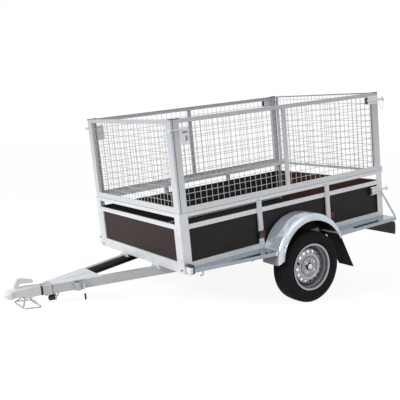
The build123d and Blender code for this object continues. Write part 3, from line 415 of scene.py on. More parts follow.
def wire_zinc(shade, place):
    """Drawn wire: fine runs of light and dark zinc."""
    cloud = mottle(shade, place, 16.0)
    speck = mottle(shade, place, 420.0)
    return {
        "Base Color": (cloud * 0.9 + speck * 0.25 - 0.1).blend(wire_dark, wire_light),
        "Metallic": 0.7,
        "Roughness": 0.38 + cloud * 0.2,
        "Normal": dent(shade, speck, 0.0001),
    }


wire_finish = finish("mesh_wire", wire_zinc)
rods = Growth("rods_along_lines", Radius=wire * 0.5, Sides=8, Bend=0.0)
bent = rods.add(
    "GeometryNodeFilletCurve",
    {
        "Curve": rods.add("GeometryNodeMeshToCurve", {"Mesh": rods.size("Shape")}),
        "Count": 5,
        "Radius": rods.size("Bend"),
        "Limit Radius": True,
    },
    mode="POLY",
)
rod_section = rods.add(
    "GeometryNodeCurvePrimitiveCircle", {"Resolution": rods.size("Sides"), "Radius": rods.size("Radius")}
)
rods.end(
    rods.add("GeometryNodeCurveToMesh", {"Curve": bent, "Profile Curve": rod_section, "Fill Caps": True})
)


def line_mesh(name, lines):
    """Each line's points, joined by edges."""
    points = []
    edges = []
    for line in lines:
        first = len(points)
        points += line
        edges += [(first + k, first + k + 1) for k in range(len(line) - 1)]
    mesh = bpy.data.meshes.new(name + "_lines")
    mesh.from_pydata(points, edges, [])
    return mesh


def plain_mesh(name, mesh):
    """A mesh from a bmesh, which is freed."""
    made = bpy.data.meshes.new(name)
    mesh.to_mesh(made)
    mesh.free()
    return made


def rounded(mesh, sharp_from=crease):
    """Smooth shading, with the corners kept sharp."""
    mesh.shade_smooth()
    mesh.set_sharp_from_angle(angle=sharp_from)
    return mesh


def mesh_panel(node, frame_node, run, middle, inwards):
    """Lines of a panel that runs along one axis: level wires behind the frame, then upright ones."""
    low, high = level_box(node)
    depth = 1 - run
    back = level_box(frame_node)[0 if inwards < 0 else 1][depth]

    def spot(place, layer, height):
        point = [0.0, 0.0, height]
        point[run] = place
        point[depth] = back + inwards * layer
        return tuple(point)

    lines = []
    rows = int(((high.z - low.z) / 2 - wire) / mesh_pitch)
    for row in range(-rows, rows + 1):
        height = (low.z + high.z) / 2 + row * mesh_pitch
        lines.append([spot(low[run], wire / 2, height), spot(high[run], wire / 2, height)])
    before = int((middle - low[run] - wire) / mesh_pitch)
    after = int((high[run] - middle - wire) / mesh_pitch)
    for step in range(-before, after + 1):
        place = middle + step * mesh_pitch
        behind = 1.5 * wire + wire_gap
        lines.append([spot(place, behind, low.z), spot(place, behind, high.z)])
    return lines


panels = (
    ("mesh_left", "cage_left", 0, side_mesh_middle, -1, "chassis"),
    ("mesh_right", "cage_right", 0, side_mesh_middle, 1, "chassis"),
    ("mesh_front", "cage_front", 1, 0.0, -1, "chassis"),
    ("rear_gate_mesh", "rear_gate_frame", 1, 0.0, 1, "rear_gate"),
)
for node, frame_node, run, middle, inwards, body in panels:
    wires = line_mesh(node, mesh_panel(node, frame_node, run, middle, inwards))
    grid = rounded(rods.grow(node + "_wires", wires, wire_finish))
    welded = add_piece("round_" + node, grid, body)
    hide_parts(node)


# Cage trim: black caps close the corner posts' tops, and a thin black strip
# lies under the cage where it stands on the lashing rails.
cap_height = 0.003
cap_past = 0.0015
strip_half = 0.0012
strip_past = 0.0008
cage_low, cage_high = level_box("cage_left")
front_low, front_high = level_box("cage_front")
front_cap_leg = 0.034
side_cap_leg = 0.062
cap_edge = 0.0008
strip_edge = 0.0002
plastic_black = (0.012, 0.012, 0.013)
plastic_grey = (0.028, 0.028, 0.030)


def black_moulding(shade, place):
    """Moulded plastic: near black, with a fine spark-eroded grain."""
    pores = mottle(shade, place, 500.0)
    cloud = mottle(shade, place, 20.0)
    return {
        "Base Color": cloud.blend(plastic_black, plastic_grey),
        "Roughness": 0.36 + pores * 0.2,
        "Normal": dent(shade, pores, 0.00015),
    }


def slabs(name, boxes, edge):
    """Blocks with eased edges in one mesh. Each box is its low and its high corner."""
    mesh = bmesh.new()
    for low, high in boxes:
        low, high = Vector(low), Vector(high)
        place = Matrix.Translation((low + high) / 2) @ Matrix.Diagonal((*(high - low), 1.0))
        bmesh.ops.create_cube(mesh, size=1.0, matrix=place)
    bmesh.ops.bevel(mesh, geom=mesh.edges[:], offset=edge, segments=2, profile=0.5, affect="EDGES")
    return rounded(plain_mesh(name, mesh))


def add_slabs(name, boxes, edge, material):
    """A piece of blocks on the chassis."""
    add_piece(name, slabs(name, boxes, edge), "chassis", material)


def both_sides(boxes):
    """The same boxes on the left and on the right."""
    return boxes + [((low[0], -high[1], low[2]), (high[0], -low[1], high[2])) for low, high in boxes]


black_plastic = finish("black_moulding", black_moulding)
cap_z = (cage_high.z - cap_height, cage_high.z + cap_height)
cap_y = (cage_low.y - cap_past, cage_high.y + cap_past)
caps = both_sides([
    ((front_low.x - side_cap_leg, cap_y[0], cap_z[0]), (front_high.x + cap_past, cap_y[1], cap_z[1])),
    ((front_low.x, cap_y[1] - front_cap_leg, cap_z[0]), (front_high.x + cap_past, cap_y[1], cap_z[1])),
    ((cage_low.x - cap_past, cap_y[0], cap_z[0]), (cage_low.x + side_cap_leg, cap_y[1], cap_z[1])),
])
add_slabs("post_caps", caps, cap_edge, black_plastic)
strip_z = (cage_low.z - strip_half, cage_low.z + strip_half)
strips = both_sides([
    ((cage_low.x, cage_low.y, strip_z[0]), (front_high.x, cage_high.y + strip_past, strip_z[1])),
])
strips.append(
    ((front_low.x, -cage_high.y, strip_z[0]), (front_high.x + strip_past, cage_high.y, strip_z[1]))
)
add_slabs("cage_strips", strips, strip_edge, black_plastic)


# Latch trim: each rear latch has a black stop at the front end of its plate.
# A wire loop hangs from the lever of each cage latch, and the front catches' plates have two dark slots.
latch_plate = 0.140
latch_plate_end = cage_low.x + latch_plate
cage_latch_drop = 0.060
tailgate_latch_height = 0.706
tailgate_latch_past = 0.003
stop_length = 0.020
stop_half = 0.026
stop_depth = 0.013
stop_edge = 0.002
latch_levels = (
    (cage_high.z - cage_latch_drop, cage_high.y),
    (tailgate_latch_height, cage_high.y + tailgate_latch_past),
)
stops = both_sides([
    (
        (latch_plate_end - stop_length / 2, face, height - stop_half),
        (latch_plate_end + stop_length / 2, face + stop_depth, height + stop_half),
    )
    for height, face in latch_levels
])
latch_sheet = 0.005
catch_face = cage_high.y + latch_sheet
slot_sink = 0.0006
slot_edge = 0.0003
slot_light = (0.34, 0.35, 0.36)
slot_dark = (0.24, 0.25, 0.26)
slot_reaches = (((0.900, 0.944), (1.424, 1.442)), ((0.902, 0.922), (1.372, 1.408)))
loop_radius = 0.0016
loop_bend = 0.010


def slot_zinc(shade, place):
    """Zinc in the shade, at the bottom of a slot."""
    return zinc(shade, place, slot_light, slot_dark)


shaded_zinc = finish("shaded_zinc", slot_zinc)
catch_slots = both_sides([
    ((x[0], catch_face - slot_sink, z[0]), (x[1], catch_face + slot_sink, z[1])) for x, z in slot_reaches
])
add_slabs("latch_stops", stops, stop_edge, black_plastic)
add_slabs("catch_slots", catch_slots, slot_edge, shaded_zinc)
loop_points = [
    (-1.061, 0.684, 1.486), (-1.066, 0.688, 1.450), (-1.044, 0.692, 1.392), (-1.026, 0.690, 1.372),
    (-1.022, 0.686, 1.400), (-1.020, 0.682, 1.440), (-1.016, 0.681, 1.463),
]
loops = [loop_points, [(x, -y, z) for x, y, z in loop_points]]
loop_lines = line_mesh("latch_loops", loops)
loop_wire = rods.grow("latch_loops", loop_lines, wire_finish, Radius=loop_radius, Bend=loop_bend)
add_piece("latch_loops", rounded(loop_wire), "chassis")


# Rope hooks: bent round bar, dipped in zinc, that a net or a rope over the load is hung on.
# Two on each side are welded under the ledges, ahead of the wheel.
hook_y = 0.690
hook_radius = 0.0058
hook_bend = 0.010
hook_sides = 10
hook_line = ((0.950, 0.462), (0.925, 0.453), (0.903, 0.441), (0.887, 0.422), (0.896, 0.404), (0.917, 0.402))
hook_steps = (0.0, -0.465)
hooks = [
    [(x + step, side * hook_y, z) for x, z in hook_line] for step in hook_steps for side in (1, -1)
]
hook_lines = line_mesh("rope_hooks", hooks)
hook_bar = rods.grow("rope_hooks", hook_lines, aged_shaded, Radius=hook_radius, Sides=hook_sides, Bend=hook_bend)
add_piece("rope_hooks", rounded(hook_bar), "chassis")


# Tyres: 13 inch road tyres with ribs round the crown, cut shoulder blocks and two fine rings on each wall.
# One pitch of the tread is drawn from bead to bead, and repeats round the wheel.
wheel_low, wheel_high = level_box("tyre_left")
wheel_plane = (wheel_low.y + wheel_high.y) / 2
tyre_half = 0.0785
tread_pitches = 72
tread_depth = 0.006
shoulder_depth = 0.0045
groove_half = 0.0032
second_groove = 0.0235
tread_edge = 0.0585
crown_drop = 0.002
crown_half = 0.0465
wall_radius = 0.2225
groove_edge = 0.0002
rib_middle = 0.012
block_middle = 0.036
chamfer_width = 0.006
chamfer_drop = 0.0075
chamfer_cut = 0.8
cut_skew = 0.55
wall_steps = 14
ring_steps = (4, 5, 10)
cut_stations = ((0.0, 1.0), (0.15, 1.0), (0.18, 0.0), (0.97, 0.0), (1.0, 1.0))
seam = 0.00005
shoulder_drop = 0.012
shoulder_inset = 0.010
shoulder_radius = tyre_radius - shoulder_drop
shoulder_half = tyre_half - shoulder_inset
bead_radius = 0.168
bead_half = 0.062
flange_radius = 0.1855
ring_rise = 0.0009
rubber_black = (0.006, 0.006, 0.0065)
rubber_grey = (0.016, 0.016, 0.017)


def arc(start, middle, end, steps):
    """Points along the circle through three points, the short way round, with both ends included."""
    (ax, ay), (bx, by), (cx, cy) = start, middle, end
    area = 2 * (ax * (by - cy) + bx * (cy - ay) + cx * (ay - by))
    aa, bb, cc = ax * ax + ay * ay, bx * bx + by * by, cx * cx + cy * cy
    ux = (aa * (by - cy) + bb * (cy - ay) + cc * (ay - by)) / area
    uy = (aa * (cx - bx) + bb * (ax - cx) + cc * (bx - ax)) / area
    radius = math.hypot(ax - ux, ay - uy)
    first = math.atan2(ay - uy, ax - ux)
    swing = math.atan2(cy - uy, cx - ux) - first
    swing = math.atan2(math.sin(swing), math.cos(swing))
    turns = [first + swing * k / steps for k in range(steps + 1)]
    return [(ux + radius * math.cos(turn), uy + radius * math.sin(turn)) for turn in turns]


def crown(y):
    """Radius of the tread's land at this place across the tyre."""
    return tyre_radius - crown_drop * (y / crown_half) ** 2


def tyre_half_section():
    """From the crown's middle to the bead: (place across, radius, how deep a shoulder cut goes there)."""
    edge = groove_edge
    section = [(0.0, crown(0) - tread_depth, 0.0), (groove_half - edge, crown(0) - tread_depth, 0.0)]
    first_rib = (groove_half + edge, rib_middle, second_groove - groove_half - edge)
    section += [(y, crown(y), 0.0) for y in first_rib]
    for y in (second_groove - groove_half + edge, second_groove + groove_half - edge):
        section.append((y, crown(y) - tread_depth, 0.0))
    blocks = (second_groove + groove_half + edge, block_middle, crown_half, tread_edge)
    section += [(y, crown(y), shoulder_depth) for y in blocks]
    section.append((tread_edge + chamfer_width, tyre_radius - chamfer_drop, shoulder_depth * chamfer_cut))
    wall_points = ((shoulder_half, shoulder_radius), (tyre_half, wall_radius), (bead_half, flange_radius))
    wall = arc(*wall_points, wall_steps)
    for step, (y, radius) in enumerate(wall):
        raised = ring_rise if step in ring_steps else 0.0
        section.append((y + raised, radius, 0.0))
    section.append((bead_half, bead_radius, 0.0))
    return section


def tyre_pitch_mesh():
    """One pitch of the tyre, about an axle along y through the origin."""
    half = tyre_half_section()
    whole = [(-y, radius, cut) for y, radius, cut in reversed(half[1:])] + half
    pitch = 2 * math.pi / tread_pitches
    mesh = bmesh.new()
    rows = []
    for share, cut_share in cut_stations:
        row = []
        for y, radius, cut in whole:
            skew = cut_skew * min(1.0, abs(y) / tread_edge)
            angle = pitch * (share + skew)
            reach = radius - cut * cut_share
            row.append(mesh.verts.new((reach * math.cos(angle), y, reach * math.sin(angle))))
        rows.append(row)
    for row, following in zip(rows, rows[1:]):
        for k in range(len(whole)):
            other = (k + 1) % len(whole)
            mesh.faces.new((row[k], row[other], following[other], following[k]))
    return plain_mesh("tyre_pitch", mesh)


tread = Growth("tread_round_the_wheel", Pitches=tread_pitches)
places = tread.add("GeometryNodePoints", {"Count": tread.size("Pitches")})
index = tread.add("GeometryNodeInputIndex", {})
turn = tread.add("ShaderNodeMath", {0: 2 * math.pi, 1: tread.size("Pitches")}, operation="DIVIDE")
angle = tread.add("ShaderNodeMath", {0: index, 1: turn}, operation="MULTIPLY")
about_axle = tread.add("ShaderNodeCombineXYZ", {"Y": angle})
ring = tread.add(
    "GeometryNodeInstanceOnPoints",
    {"Points": places, "Instance": tread.size("Shape"), "Rotation": about_axle},
)
whole_ring = tread.add("GeometryNodeRealizeInstances", {"Geometry": ring})
tread.end(tread.add("GeometryNodeMergeByDistance", {"Geometry": whole_ring, "Distance": seam}))


def tyre_rubber(shade, place):
    """Moulded rubber: matt black, a little grey with dust, with a fine grain."""
    dust = mottle(shade, place, 9.0)
    pores = mottle(shade, place, 260.0)
    return {
        "Base Color": (dust * 0.8 + pores * 0.3 - 0.2).blend(rubber_black, rubber_grey),
        "Roughness": 0.66 + dust * 0.22,
        "Specular IOR Level": 0.14,
        "Normal": dent(shade, pores, 0.0002),
    }


rubber = finish("tyre_rubber", tyre_rubber)
for side, sign in (("left", 1), ("right", -1)):
    round_mesh = tread.grow("tyre_round_" + side, tyre_pitch_mesh(), rubber)
    round_mesh.transform(Matrix.Translation((0.0, sign * wheel_plane, tyre_radius)))
    tyre = add_piece("road_tyre_" + side, rounded(round_mesh), "wheel_" + side)
    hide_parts("tyre_" + side)


# Wheels: pressed steel discs in silver lacquer, with round vents, on a dark cast hub.
# Four plated bolts hold each wheel, and a cap closes the hub: a plated face on a dome painted dark as shade.
lacquer_light = (0.56, 0.575, 0.60)
lacquer_dark = (0.38, 0.395, 0.42)
rim_reach = 0.1825
# Painted light and shade in rings, by distance from the axle as a share of the rim's reach: dark round the hub and
# in the well, painted highlights on the disc and the lip.
painted_wheel_light = (
    (0.16, (0.60, 0.61, 0.63)),
    (0.34, (0.72, 0.73, 0.75)),
    (0.43, (0.40, 0.41, 0.43)),
    (0.49, (1.0, 1.0, 1.0)),
    (0.53, (1.0, 1.0, 1.0)),
    (0.57, (0.56, 0.57, 0.60)),
    (0.62, (0.85, 0.87, 0.90)),
    (0.74, (0.66, 0.67, 0.70)),
    (0.80, (0.15, 0.155, 0.165)),
    (0.86, (0.15, 0.155, 0.165)),
    (0.885, (0.48, 0.50, 0.53)),
    (0.91, (0.22, 0.225, 0.24)),
    (0.95, (0.92, 0.94, 0.97)),
)
hub_grey = (0.055, 0.055, 0.057)
hub_black = (0.03, 0.03, 0.031)
bolt_circle = 0.049
bolt_count = 4
first_bolt = math.radians(45)
disc_out = 0.034
disc_face = wheel_plane + disc_out
bolt_bright = (0.88, 0.89, 0.90)
bolt_dull = (0.72, 0.74, 0.75)
hub_out = 0.030
hub_face = wheel_plane + hub_out
head_taper = 0.82
washer_sides = 14
hub_cap = ((0.003, 0.0285), (0.0045, 0.0287), (0.006, 0.0260), (0.0160, 0.0245), (0.0165, 0.0225))
cap_face = ((0.0158, 0.0215), (0.0195, 0.0215), (0.0220, 0.0190), (0.0232, 0.0100), (0.0235, 0.0030))


def reach_from(shade, place, x, z):
    """The distance from a line that runs straight across the trailer."""
    away = shade.node("VectorMath", {0: place, 1: (x, 0.0, z)}, operation="SUBTRACT")
    flat = shade.node("VectorMath", {0: away, 1: (1.0, 0.0, 1.0)}, operation="MULTIPLY")
    return shade.node("VectorMath", {0: flat}, output="Value", operation="LENGTH")


def silver_lacquer(shade, place):
    """Silver paint: fine flake, with painted shade in the well of the rim and round the hub, and painted
    highlights in rings on the disc and on the lip.
    """
    cloud = mottle(shade, place, 12.0)
    flake = mottle(shade, place, 900.0)
    share = reach_from(shade, place, 0.0, tyre_radius) * (1 / rim_reach)
    painted_rings = shade.node("ValToRGB", {"Fac": share}, stops=painted_wheel_light)
    silver = (cloud * 0.8 + flake * 0.3 - 0.05).blend(lacquer_dark, lacquer_light)
    return {
        "Base Color": shade.node(
            "Mix", {0: 1.0, 6: silver, 7: painted_rings}, output=2, data_type="RGBA", blend_type="MULTIPLY"
        ),
        "Metallic": 0.55,
        "Roughness": 0.24 + cloud * 0.14,
        "Coat Weight": 0.25 + cloud * 0.1,
        "Normal": dent(shade, flake, 0.00005),
    }


def cast_grey(shade, place):
    """Cast iron under thin dark paint."""
    rough = mottle(shade, place, 150.0)
    return {
        "Base Color": rough.blend(hub_black, hub_grey),
        "Metallic": 0.3,
        "Roughness": 0.5 + rough * 0.2,
        "Normal": dent(shade, rough, 0.0004),
    }


def bright_zinc(shade, place):
    """Plated fasteners: small, clean and bright."""
    speck = mottle(shade, place, 240.0)
    return {
        "Base Color": speck.blend(bolt_dull, bolt_bright),
        "Metallic": 0.6,
        "Roughness": 0.22 + speck * 0.2,
    }


wheel_lacquer = finish("silver_lacquer", silver_lacquer)
hub_iron = finish("hub_iron", cast_grey)
plated = finish("plated_bolts", bright_zinc)
for side in ("left", "right"):
    dress("rim_" + side, wheel_lacquer)
    dress("hub_" + side, hub_iron)

bolts = Growth("bolts_on_points", Head=0.0062, Height=0.005, Sides=6, Washer=0.009, Washer_height=0.003)
way = bolts.add("GeometryNodeInputNamedAttribute", {"Name": "way"}, data_type="FLOAT_VECTOR")
facing = bolts.add("FunctionNodeAlignRotationToVector", {"Vector": way}, axis="Z")
head_top = bolts.add("ShaderNodeMath", {0: bolts.size("Head"), 1: head_taper}, operation="MULTIPLY")
head = bolts.add(
    "GeometryNodeMeshCone",
    {
        "Vertices": bolts.size("Sides"),
        "Side Segments": 1,
        "Radius Top": head_top,
        "Radius Bottom": bolts.size("Head"),
        "Depth": bolts.size("Height"),
    },
)
washer = bolts.add(
    "GeometryNodeMeshCylinder",
    {"Vertices": washer_sides, "Radius": bolts.size("Washer"), "Depth": bolts.size("Washer_height")},
)
bolt = bolts.add("GeometryNodeJoinGeometry", {"Geometry": head})
bolts.tree.links.new(washer, bolt.node.inputs["Geometry"])
on_points = bolts.add(
    "GeometryNodeInstanceOnPoints", {"Points": bolts.size("Shape"), "Instance": bolt, "Rotation": facing}
)
bolts.end(on_points)


def bolt_points(name, places):
    """Loose points, each with the way that its bolt faces."""
    mesh = bpy.data.meshes.new(name)
    mesh.from_pydata([spot for spot, _ in places], [], [])
    ways = mesh.attributes.new("way", "FLOAT_VECTOR", "POINT")
    ways.data.foreach_set("vector", [value for _, direction in places for value in direction])
    return mesh


def turned(name, outline, spot, axis, steps=28):
    """A piece turned about an axis: outline holds (place along it, radius) from end to end."""
    axis = Vector(axis)
    across = axis.orthogonal().normalized()
    up = axis.cross(across)
    mesh = bmesh.new()
    rows = []
    for station, radius in outline:
        row = []
        for k in range(steps):
            turn = 2 * math.pi * k / steps
            reach = across * (radius * math.cos(turn)) + up * (radius * math.sin(turn))
            row.append(mesh.verts.new(Vector(spot) + axis * station + reach))
        rows.append(row)
    for row, following in zip(rows, rows[1:]):
        for k in range(steps):
            other = (k + 1) % steps
            mesh.faces.new((row[k], row[other], following[other], following[k]))
    mesh.faces.new(list(reversed(rows[0])))
    mesh.faces.new(rows[-1])
    bmesh.ops.recalc_face_normals(mesh, faces=mesh.faces)
    return rounded(plain_mesh(name, mesh))


for side, sign in (("left", 1), ("right", -1)):
    # The cap's dome takes the hub's dark iron as painted shade round its plated face.
    dome = turned("hub_cap_" + side, hub_cap, (0.0, sign * hub_face, tyre_radius), (0.0, sign, 0.0))
    add_piece("hub_cap_" + side, dome, "wheel_" + side, hub_iron)
    face = turned("cap_face_" + side, cap_face, (0.0, sign * hub_face, tyre_radius), (0.0, sign, 0.0))
    add_piece("cap_face_" + side, face, "wheel_" + side, plated)
    ring_of_four = []
    for k in range(bolt_count):
        turned_by = first_bolt + 2 * math.pi * k / bolt_count
        x, z = bolt_circle * math.cos(turned_by), bolt_circle * math.sin(turned_by)
        ring_of_four.append(((x, sign * disc_face, tyre_radius + z), (0.0, sign, 0.0)))
    heads = bolts.grow(
        "wheel_bolts_" + side, bolt_points("wheel_bolt_places_" + side, ring_of_four), plated,
        Head=0.0115, Height=0.020, Washer=0.0145, Washer_height=0.006,
    )
    add_piece("wheel_bolts_" + side, heads, "wheel_" + side)


# Mudguards and ledges: zinc sheet rolled round the wheel, with a rounded shoulder, a bead and a wired edge.
# Each guard stands for its plainer solid and keeps its radius and reach. A black lining inside it is part
# underseal and part painted shade under the guard, and the ledges beside it are smooth sheet trays, painted dark
# as shade and as the dark ply they mirror, with an outer lip painted lighter as lit.
guard_low, guard_high = level_box("mudguard_left")
guard_front = math.radians(2.2)
guard_rear = math.radians(163.3)
guard_radius = guard_high.x / math.cos(guard_front)
guard_centre = guard_high.z - guard_radius
guard_inner = guard_low.y
guard_outer = guard_high.y
guard_sheet = 0.002
guard_round = 0.025
guard_skirt = 0.055
guard_lip = 0.022
guard_steps = 56
guard_crease = math.radians(50)
skirt_cut = 0.028
skirt_taper = 0.75
taper_from = math.radians(95)
shoulder_foot = guard_radius - guard_sheet - guard_round
bead_place = 0.62
bead_rise = 0.0035
bead_step = 0.0045
wire_turn = math.pi * 1.75
wire_steps = 7
shoulder_steps = 8
lining_steps = 6
wired_edge = 0.0032
ledge_high = level_box("ledges")[1]
lip_sheet = 0.004
ledge_lip = ledge_high.y - lip_sheet
guard_light = (0.74, 0.795, 0.87)
guard_dark = (0.60, 0.655, 0.73)
guard_metal = 0.60
guard_rough = 0.13
painted_foot_shade = (0.27, 0.265, 0.26)
foot_shade_fade = 40.0
painted_tray_shade_light = (0.36, 0.40, 0.455)
painted_tray_shade_dark = (0.27, 0.31, 0.36)
tray_metal = 0.94
tray_rough = 0.07
painted_lip_light = (0.82, 0.84, 0.86)
rolled_flakes = 16.0
rolled_pits = 0.00001
lining_gap = 0.004
lining_wall = 0.048


def guard_shoulder(top, outer, steps):
    """The round between the guard's top and its skirt: (radius, place across)."""
    corner = math.sqrt(0.5)
    round_from = outer - guard_round
    shoulder = arc(
        (round_from, top),
        (round_from + guard_round * corner, top - guard_round * (1 - corner)),
        (outer, top - guard_round),
        steps,
    )
    return [(radius, y) for y, radius in shoulder]


def guard_section():
    """From the lip against the body, over the top and down the skirt: (radius, place across)."""
    top = guard_radius - guard_sheet
    outer = guard_outer - guard_sheet
    flat_end = outer - guard_round
    section = [(top - guard_lip, guard_inner + guard_sheet), (top, guard_inner + guard_sheet)]
    bead = guard_inner + bead_place * (flat_end - guard_inner)
    for step in range(-4, 5):
        rise = bead_rise * (0.5 + 0.5 * math.cos(math.pi * step / 4))
        section.append((top + min(rise, guard_sheet * 0.9), bead + bead_step * step))
    section += guard_shoulder(top, outer, shoulder_steps)
    section.append((guard_radius - guard_skirt + 2 * wired_edge, outer))
    low = guard_radius - guard_skirt + wired_edge
    for step in range(1, wire_steps + 1):
        turn = wire_turn * step / wire_steps
        section.append((low + wired_edge * math.cos(turn), outer - wired_edge * math.sin(turn)))
    return section


def lining_section():
    """The same section, set inside the guard, without its lip and its wired edge."""
    top = guard_radius - guard_sheet - lining_gap
    outer = guard_outer - guard_sheet - lining_gap
    section = [(top - lining_wall, guard_inner + lining_gap), (top, guard_inner + lining_gap)]
    section += guard_shoulder(top, outer, lining_steps)
    section.append((guard_radius - guard_skirt + 3 * wired_edge, outer))
    return section


def swept_sheet(name, section, sign):
    """A section swept round the guard's centre, as a sheet with a wall."""
    mesh = bmesh.new()
    rows = []
    for step in range(guard_steps + 1):
        row = []
        for radius, y in section:
            start = guard_front
            if y > guard_outer - guard_round:
                start += skirt_cut * (guard_radius - radius) / guard_skirt / radius
            angle = start + (guard_rear - start) * step / guard_steps
            taper = max(0.0, (angle - taper_from) / (guard_rear - taper_from))
            if radius < shoulder_foot and y > guard_inner + guard_round:
                radius += (shoulder_foot - radius) * skirt_taper * taper * taper
            x, z = radius * math.cos(angle), radius * math.sin(angle)
            row.append(mesh.verts.new((x, sign * y, guard_centre + z)))
        rows.append(row)
    for row, following in zip(rows, rows[1:]):
        for k in range(len(row) - 1):
            mesh.faces.new((row[k], row[k + 1], following[k + 1], following[k]))
    bmesh.ops.recalc_face_normals(mesh, faces=mesh.faces)
    bmesh.ops.solidify(mesh, geom=mesh.faces[:], thickness=guard_sheet * 0.6)
    bmesh.ops.recalc_face_normals(mesh, faces=mesh.faces)
    return rounded(plain_mesh(name, mesh), guard_crease)


def guard_zinc(shade, place):
    """Rolled zinc sheet: larger flakes and a bluer grey, with painted shade on its front foot below the ledge."""
    looks = zinc(shade, place, guard_light, guard_dark, rolled_flakes, guard_metal, guard_rough, rolled_pits)
    height = along(shade, place, "Z")
    flat = off_middle(shade, place) < guard_outer - guard_round / 2
    # Painted shade: the flat front of the guard below the ledge turns grey and dull.
    below = shade.node("Clamp", {"Value": (ledge_high.z - height) * foot_shade_fade})
    foot = below * flat
    looks["Base Color"] = foot.blend(looks["Base Color"], painted_foot_shade)
    looks["Metallic"] = guard_metal - foot * 0.40
    looks["Roughness"] = looks["Roughness"] + foot * 0.35
    return looks


def tray_zinc(shade, place):
    """The ledges' sheet: smoother, painted dark as shade and as a reflection of the dark ply beside it, with a lip
    painted lighter where light falls on it.
    """
    looks = zinc(shade, place, painted_tray_shade_light, painted_tray_shade_dark, rolled_flakes, tray_metal, tray_rough, rolled_pits)
    lip = off_middle(shade, place) > ledge_lip
    # Painted light: the outer lip is lighter than the shaded tray.
    looks["Base Color"] = lip.blend(looks["Base Color"], painted_lip_light)
    looks["Metallic"] = tray_metal - lip * 0.5
    return looks


rolled_zinc = finish("rolled_zinc", guard_zinc)
dress("ledges", finish("tray_zinc", tray_zinc))
for side, sign in (("left", 1), ("right", -1)):
    shell = swept_sheet("rolled_guard_" + side, guard_section(), sign)
    guard = add_piece("rolled_guard_" + side, shell, "chassis", rolled_zinc)
    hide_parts("mudguard_" + side)
    # The lining is black rubber: part underseal, part painted shade inside the guard.
    lining = swept_sheet("guard_lining_" + side, lining_section(), sign)
    add_piece("guard_lining_" + side, lining, "chassis", rubber)


# Drawbar clips: a pressed zinc plate over each beam, with a lip turned out along its foot.
# Two bolts hold each to the face of the front rail.
rail_face = level_box("front_rail")[1].x
clip_sheet = 0.003
clip_edge = 0.001
clip_y = (0.202, 0.302)
clip_foot = 0.420
clip_top = 0.488
clip_lip_y = (0.194, 0.330)
clip_lip_foot = 0.412
clip_back = rail_face - clip_sheet
clips = both_sides([
    ((clip_back, clip_y[0], clip_foot), (rail_face + clip_sheet, clip_y[1], clip_top)),
    ((clip_back, clip_lip_y[0], clip_lip_foot), (rail_face + 3 * clip_sheet, clip_lip_y[1], clip_foot)),
])
add_slabs("drawbar_clips", clips, clip_edge, aged_shaded)


# Mud flaps and the plug's lead: black rubber, matt, with a little road dust.
# The flaps hang from the guards' rear ends, and the lead runs from the tongue to the plug.
flap_rubber = finish("flap_rubber", tyre_rubber)
dress("mud_flaps", flap_rubber)
dress("plug_lead", flap_rubber)


# Coupling head and handle: a pressed steel hood in light grey zinc with a bowed lever above it.
# The pressing is a little uneven, and both are passivated to the same soft grey.
press_light = (0.72, 0.74, 0.74)
press_dark = (0.56, 0.58, 0.58)


def pressed_grey(shade, place):
    """Passivated pressing: soft grey with shallow unevenness."""
    cloud = mottle(shade, place, 22.0)
    speck = mottle(shade, place, 300.0)
    return {
        "Base Color": (cloud * 0.8 + speck * 0.25).blend(press_dark, press_light),
        "Metallic": 0.35,
        "Roughness": 0.42 + cloud * 0.16,
        "Normal": dent(shade, cloud * 0.6 + speck * 0.3, 0.0006),
    }


coupling_finish = finish("pressed_grey", pressed_grey)
for node in ("coupling_head", "coupling_handle"):
    dress(node, coupling_finish)


# Nose wheel clamp, plug holder and parking foot: plated steel in a bluer, darker grey than the dipped zinc
# round them. The clamp's screw is brighter, and the bar that hangs from it ends in a black grip.
plate_light = (0.50, 0.54, 0.565)
plate_dark = (0.30, 0.335, 0.36)
plate_flakes = 60.0
plate_metal = 0.7
plate_rough = 0.24
plate_pits = 0.00004
screw_metal = 0.85
grip_top = 0.332
grip_rough = 0.2


def blue_plate(shade, place):
    """Blue-grey plating with soft wear."""
    return zinc(shade, place, plate_light, plate_dark, plate_flakes, plate_metal, plate_rough, plate_pits)


def gripped(shade, place):
    """Plated steel above, black grip below."""
    looks = bright_zinc(shade, place)
    height = along(shade, place, "Z")
    grip = height < grip_top
    looks["Base Color"] = grip.blend(looks["Base Color"], plastic_black)
    looks["Metallic"] = screw_metal - grip * screw_metal
    looks["Roughness"] = looks["Roughness"] + grip * grip_rough
    return looks


dress("clamp_screw", finish("gripped_screw", gripped))
plated_blue = finish("blue_plate", blue_plate)
for node in ("stand_clamp", "plug_holder", "parking_foot"):
    dress(node, plated_blue)


# Bands on the drawbar: a black band round the tongue behind the coupling,
# and a thin black ring round both beams at the plug: painted shadow for the seam at the beams' tips.
tongue_low, tongue_high = level_box("drawbar_tongue")
band_x = (1.851, 1.864)
band_wall = 0.004
band_edge = 0.0004
seam_shade_x = (1.786, 1.789)
seam_shade_wall = 0.0014
seam_shade_half = beam_tip_half + (beam_high.x - seam_shade_x[0]) * beam_lean
seam_shade_top = level_box("drawbar_gusset")[1].z


def band_round(x, half, low, high, wall):
    """Four blocks round a bar: above, below and on both sides."""
    flat = [
        ((x[0], -half - wall, foot), (x[1], half + wall, foot + wall)) for foot in (low - wall, high)
    ]
    return flat + both_sides([((x[0], half, low), (x[1], half + wall, high))])


bands = band_round(band_x, tongue_high.y, tongue_low.z, tongue_high.z, band_wall)
# The thin black ring round the beams is painted shadow in the seam at their tips.
bands += band_round(seam_shade_x, seam_shade_half, beam_low.z, seam_shade_top, seam_shade_wall)
add_slabs("drawbar_bands", bands, band_edge, black_plastic)


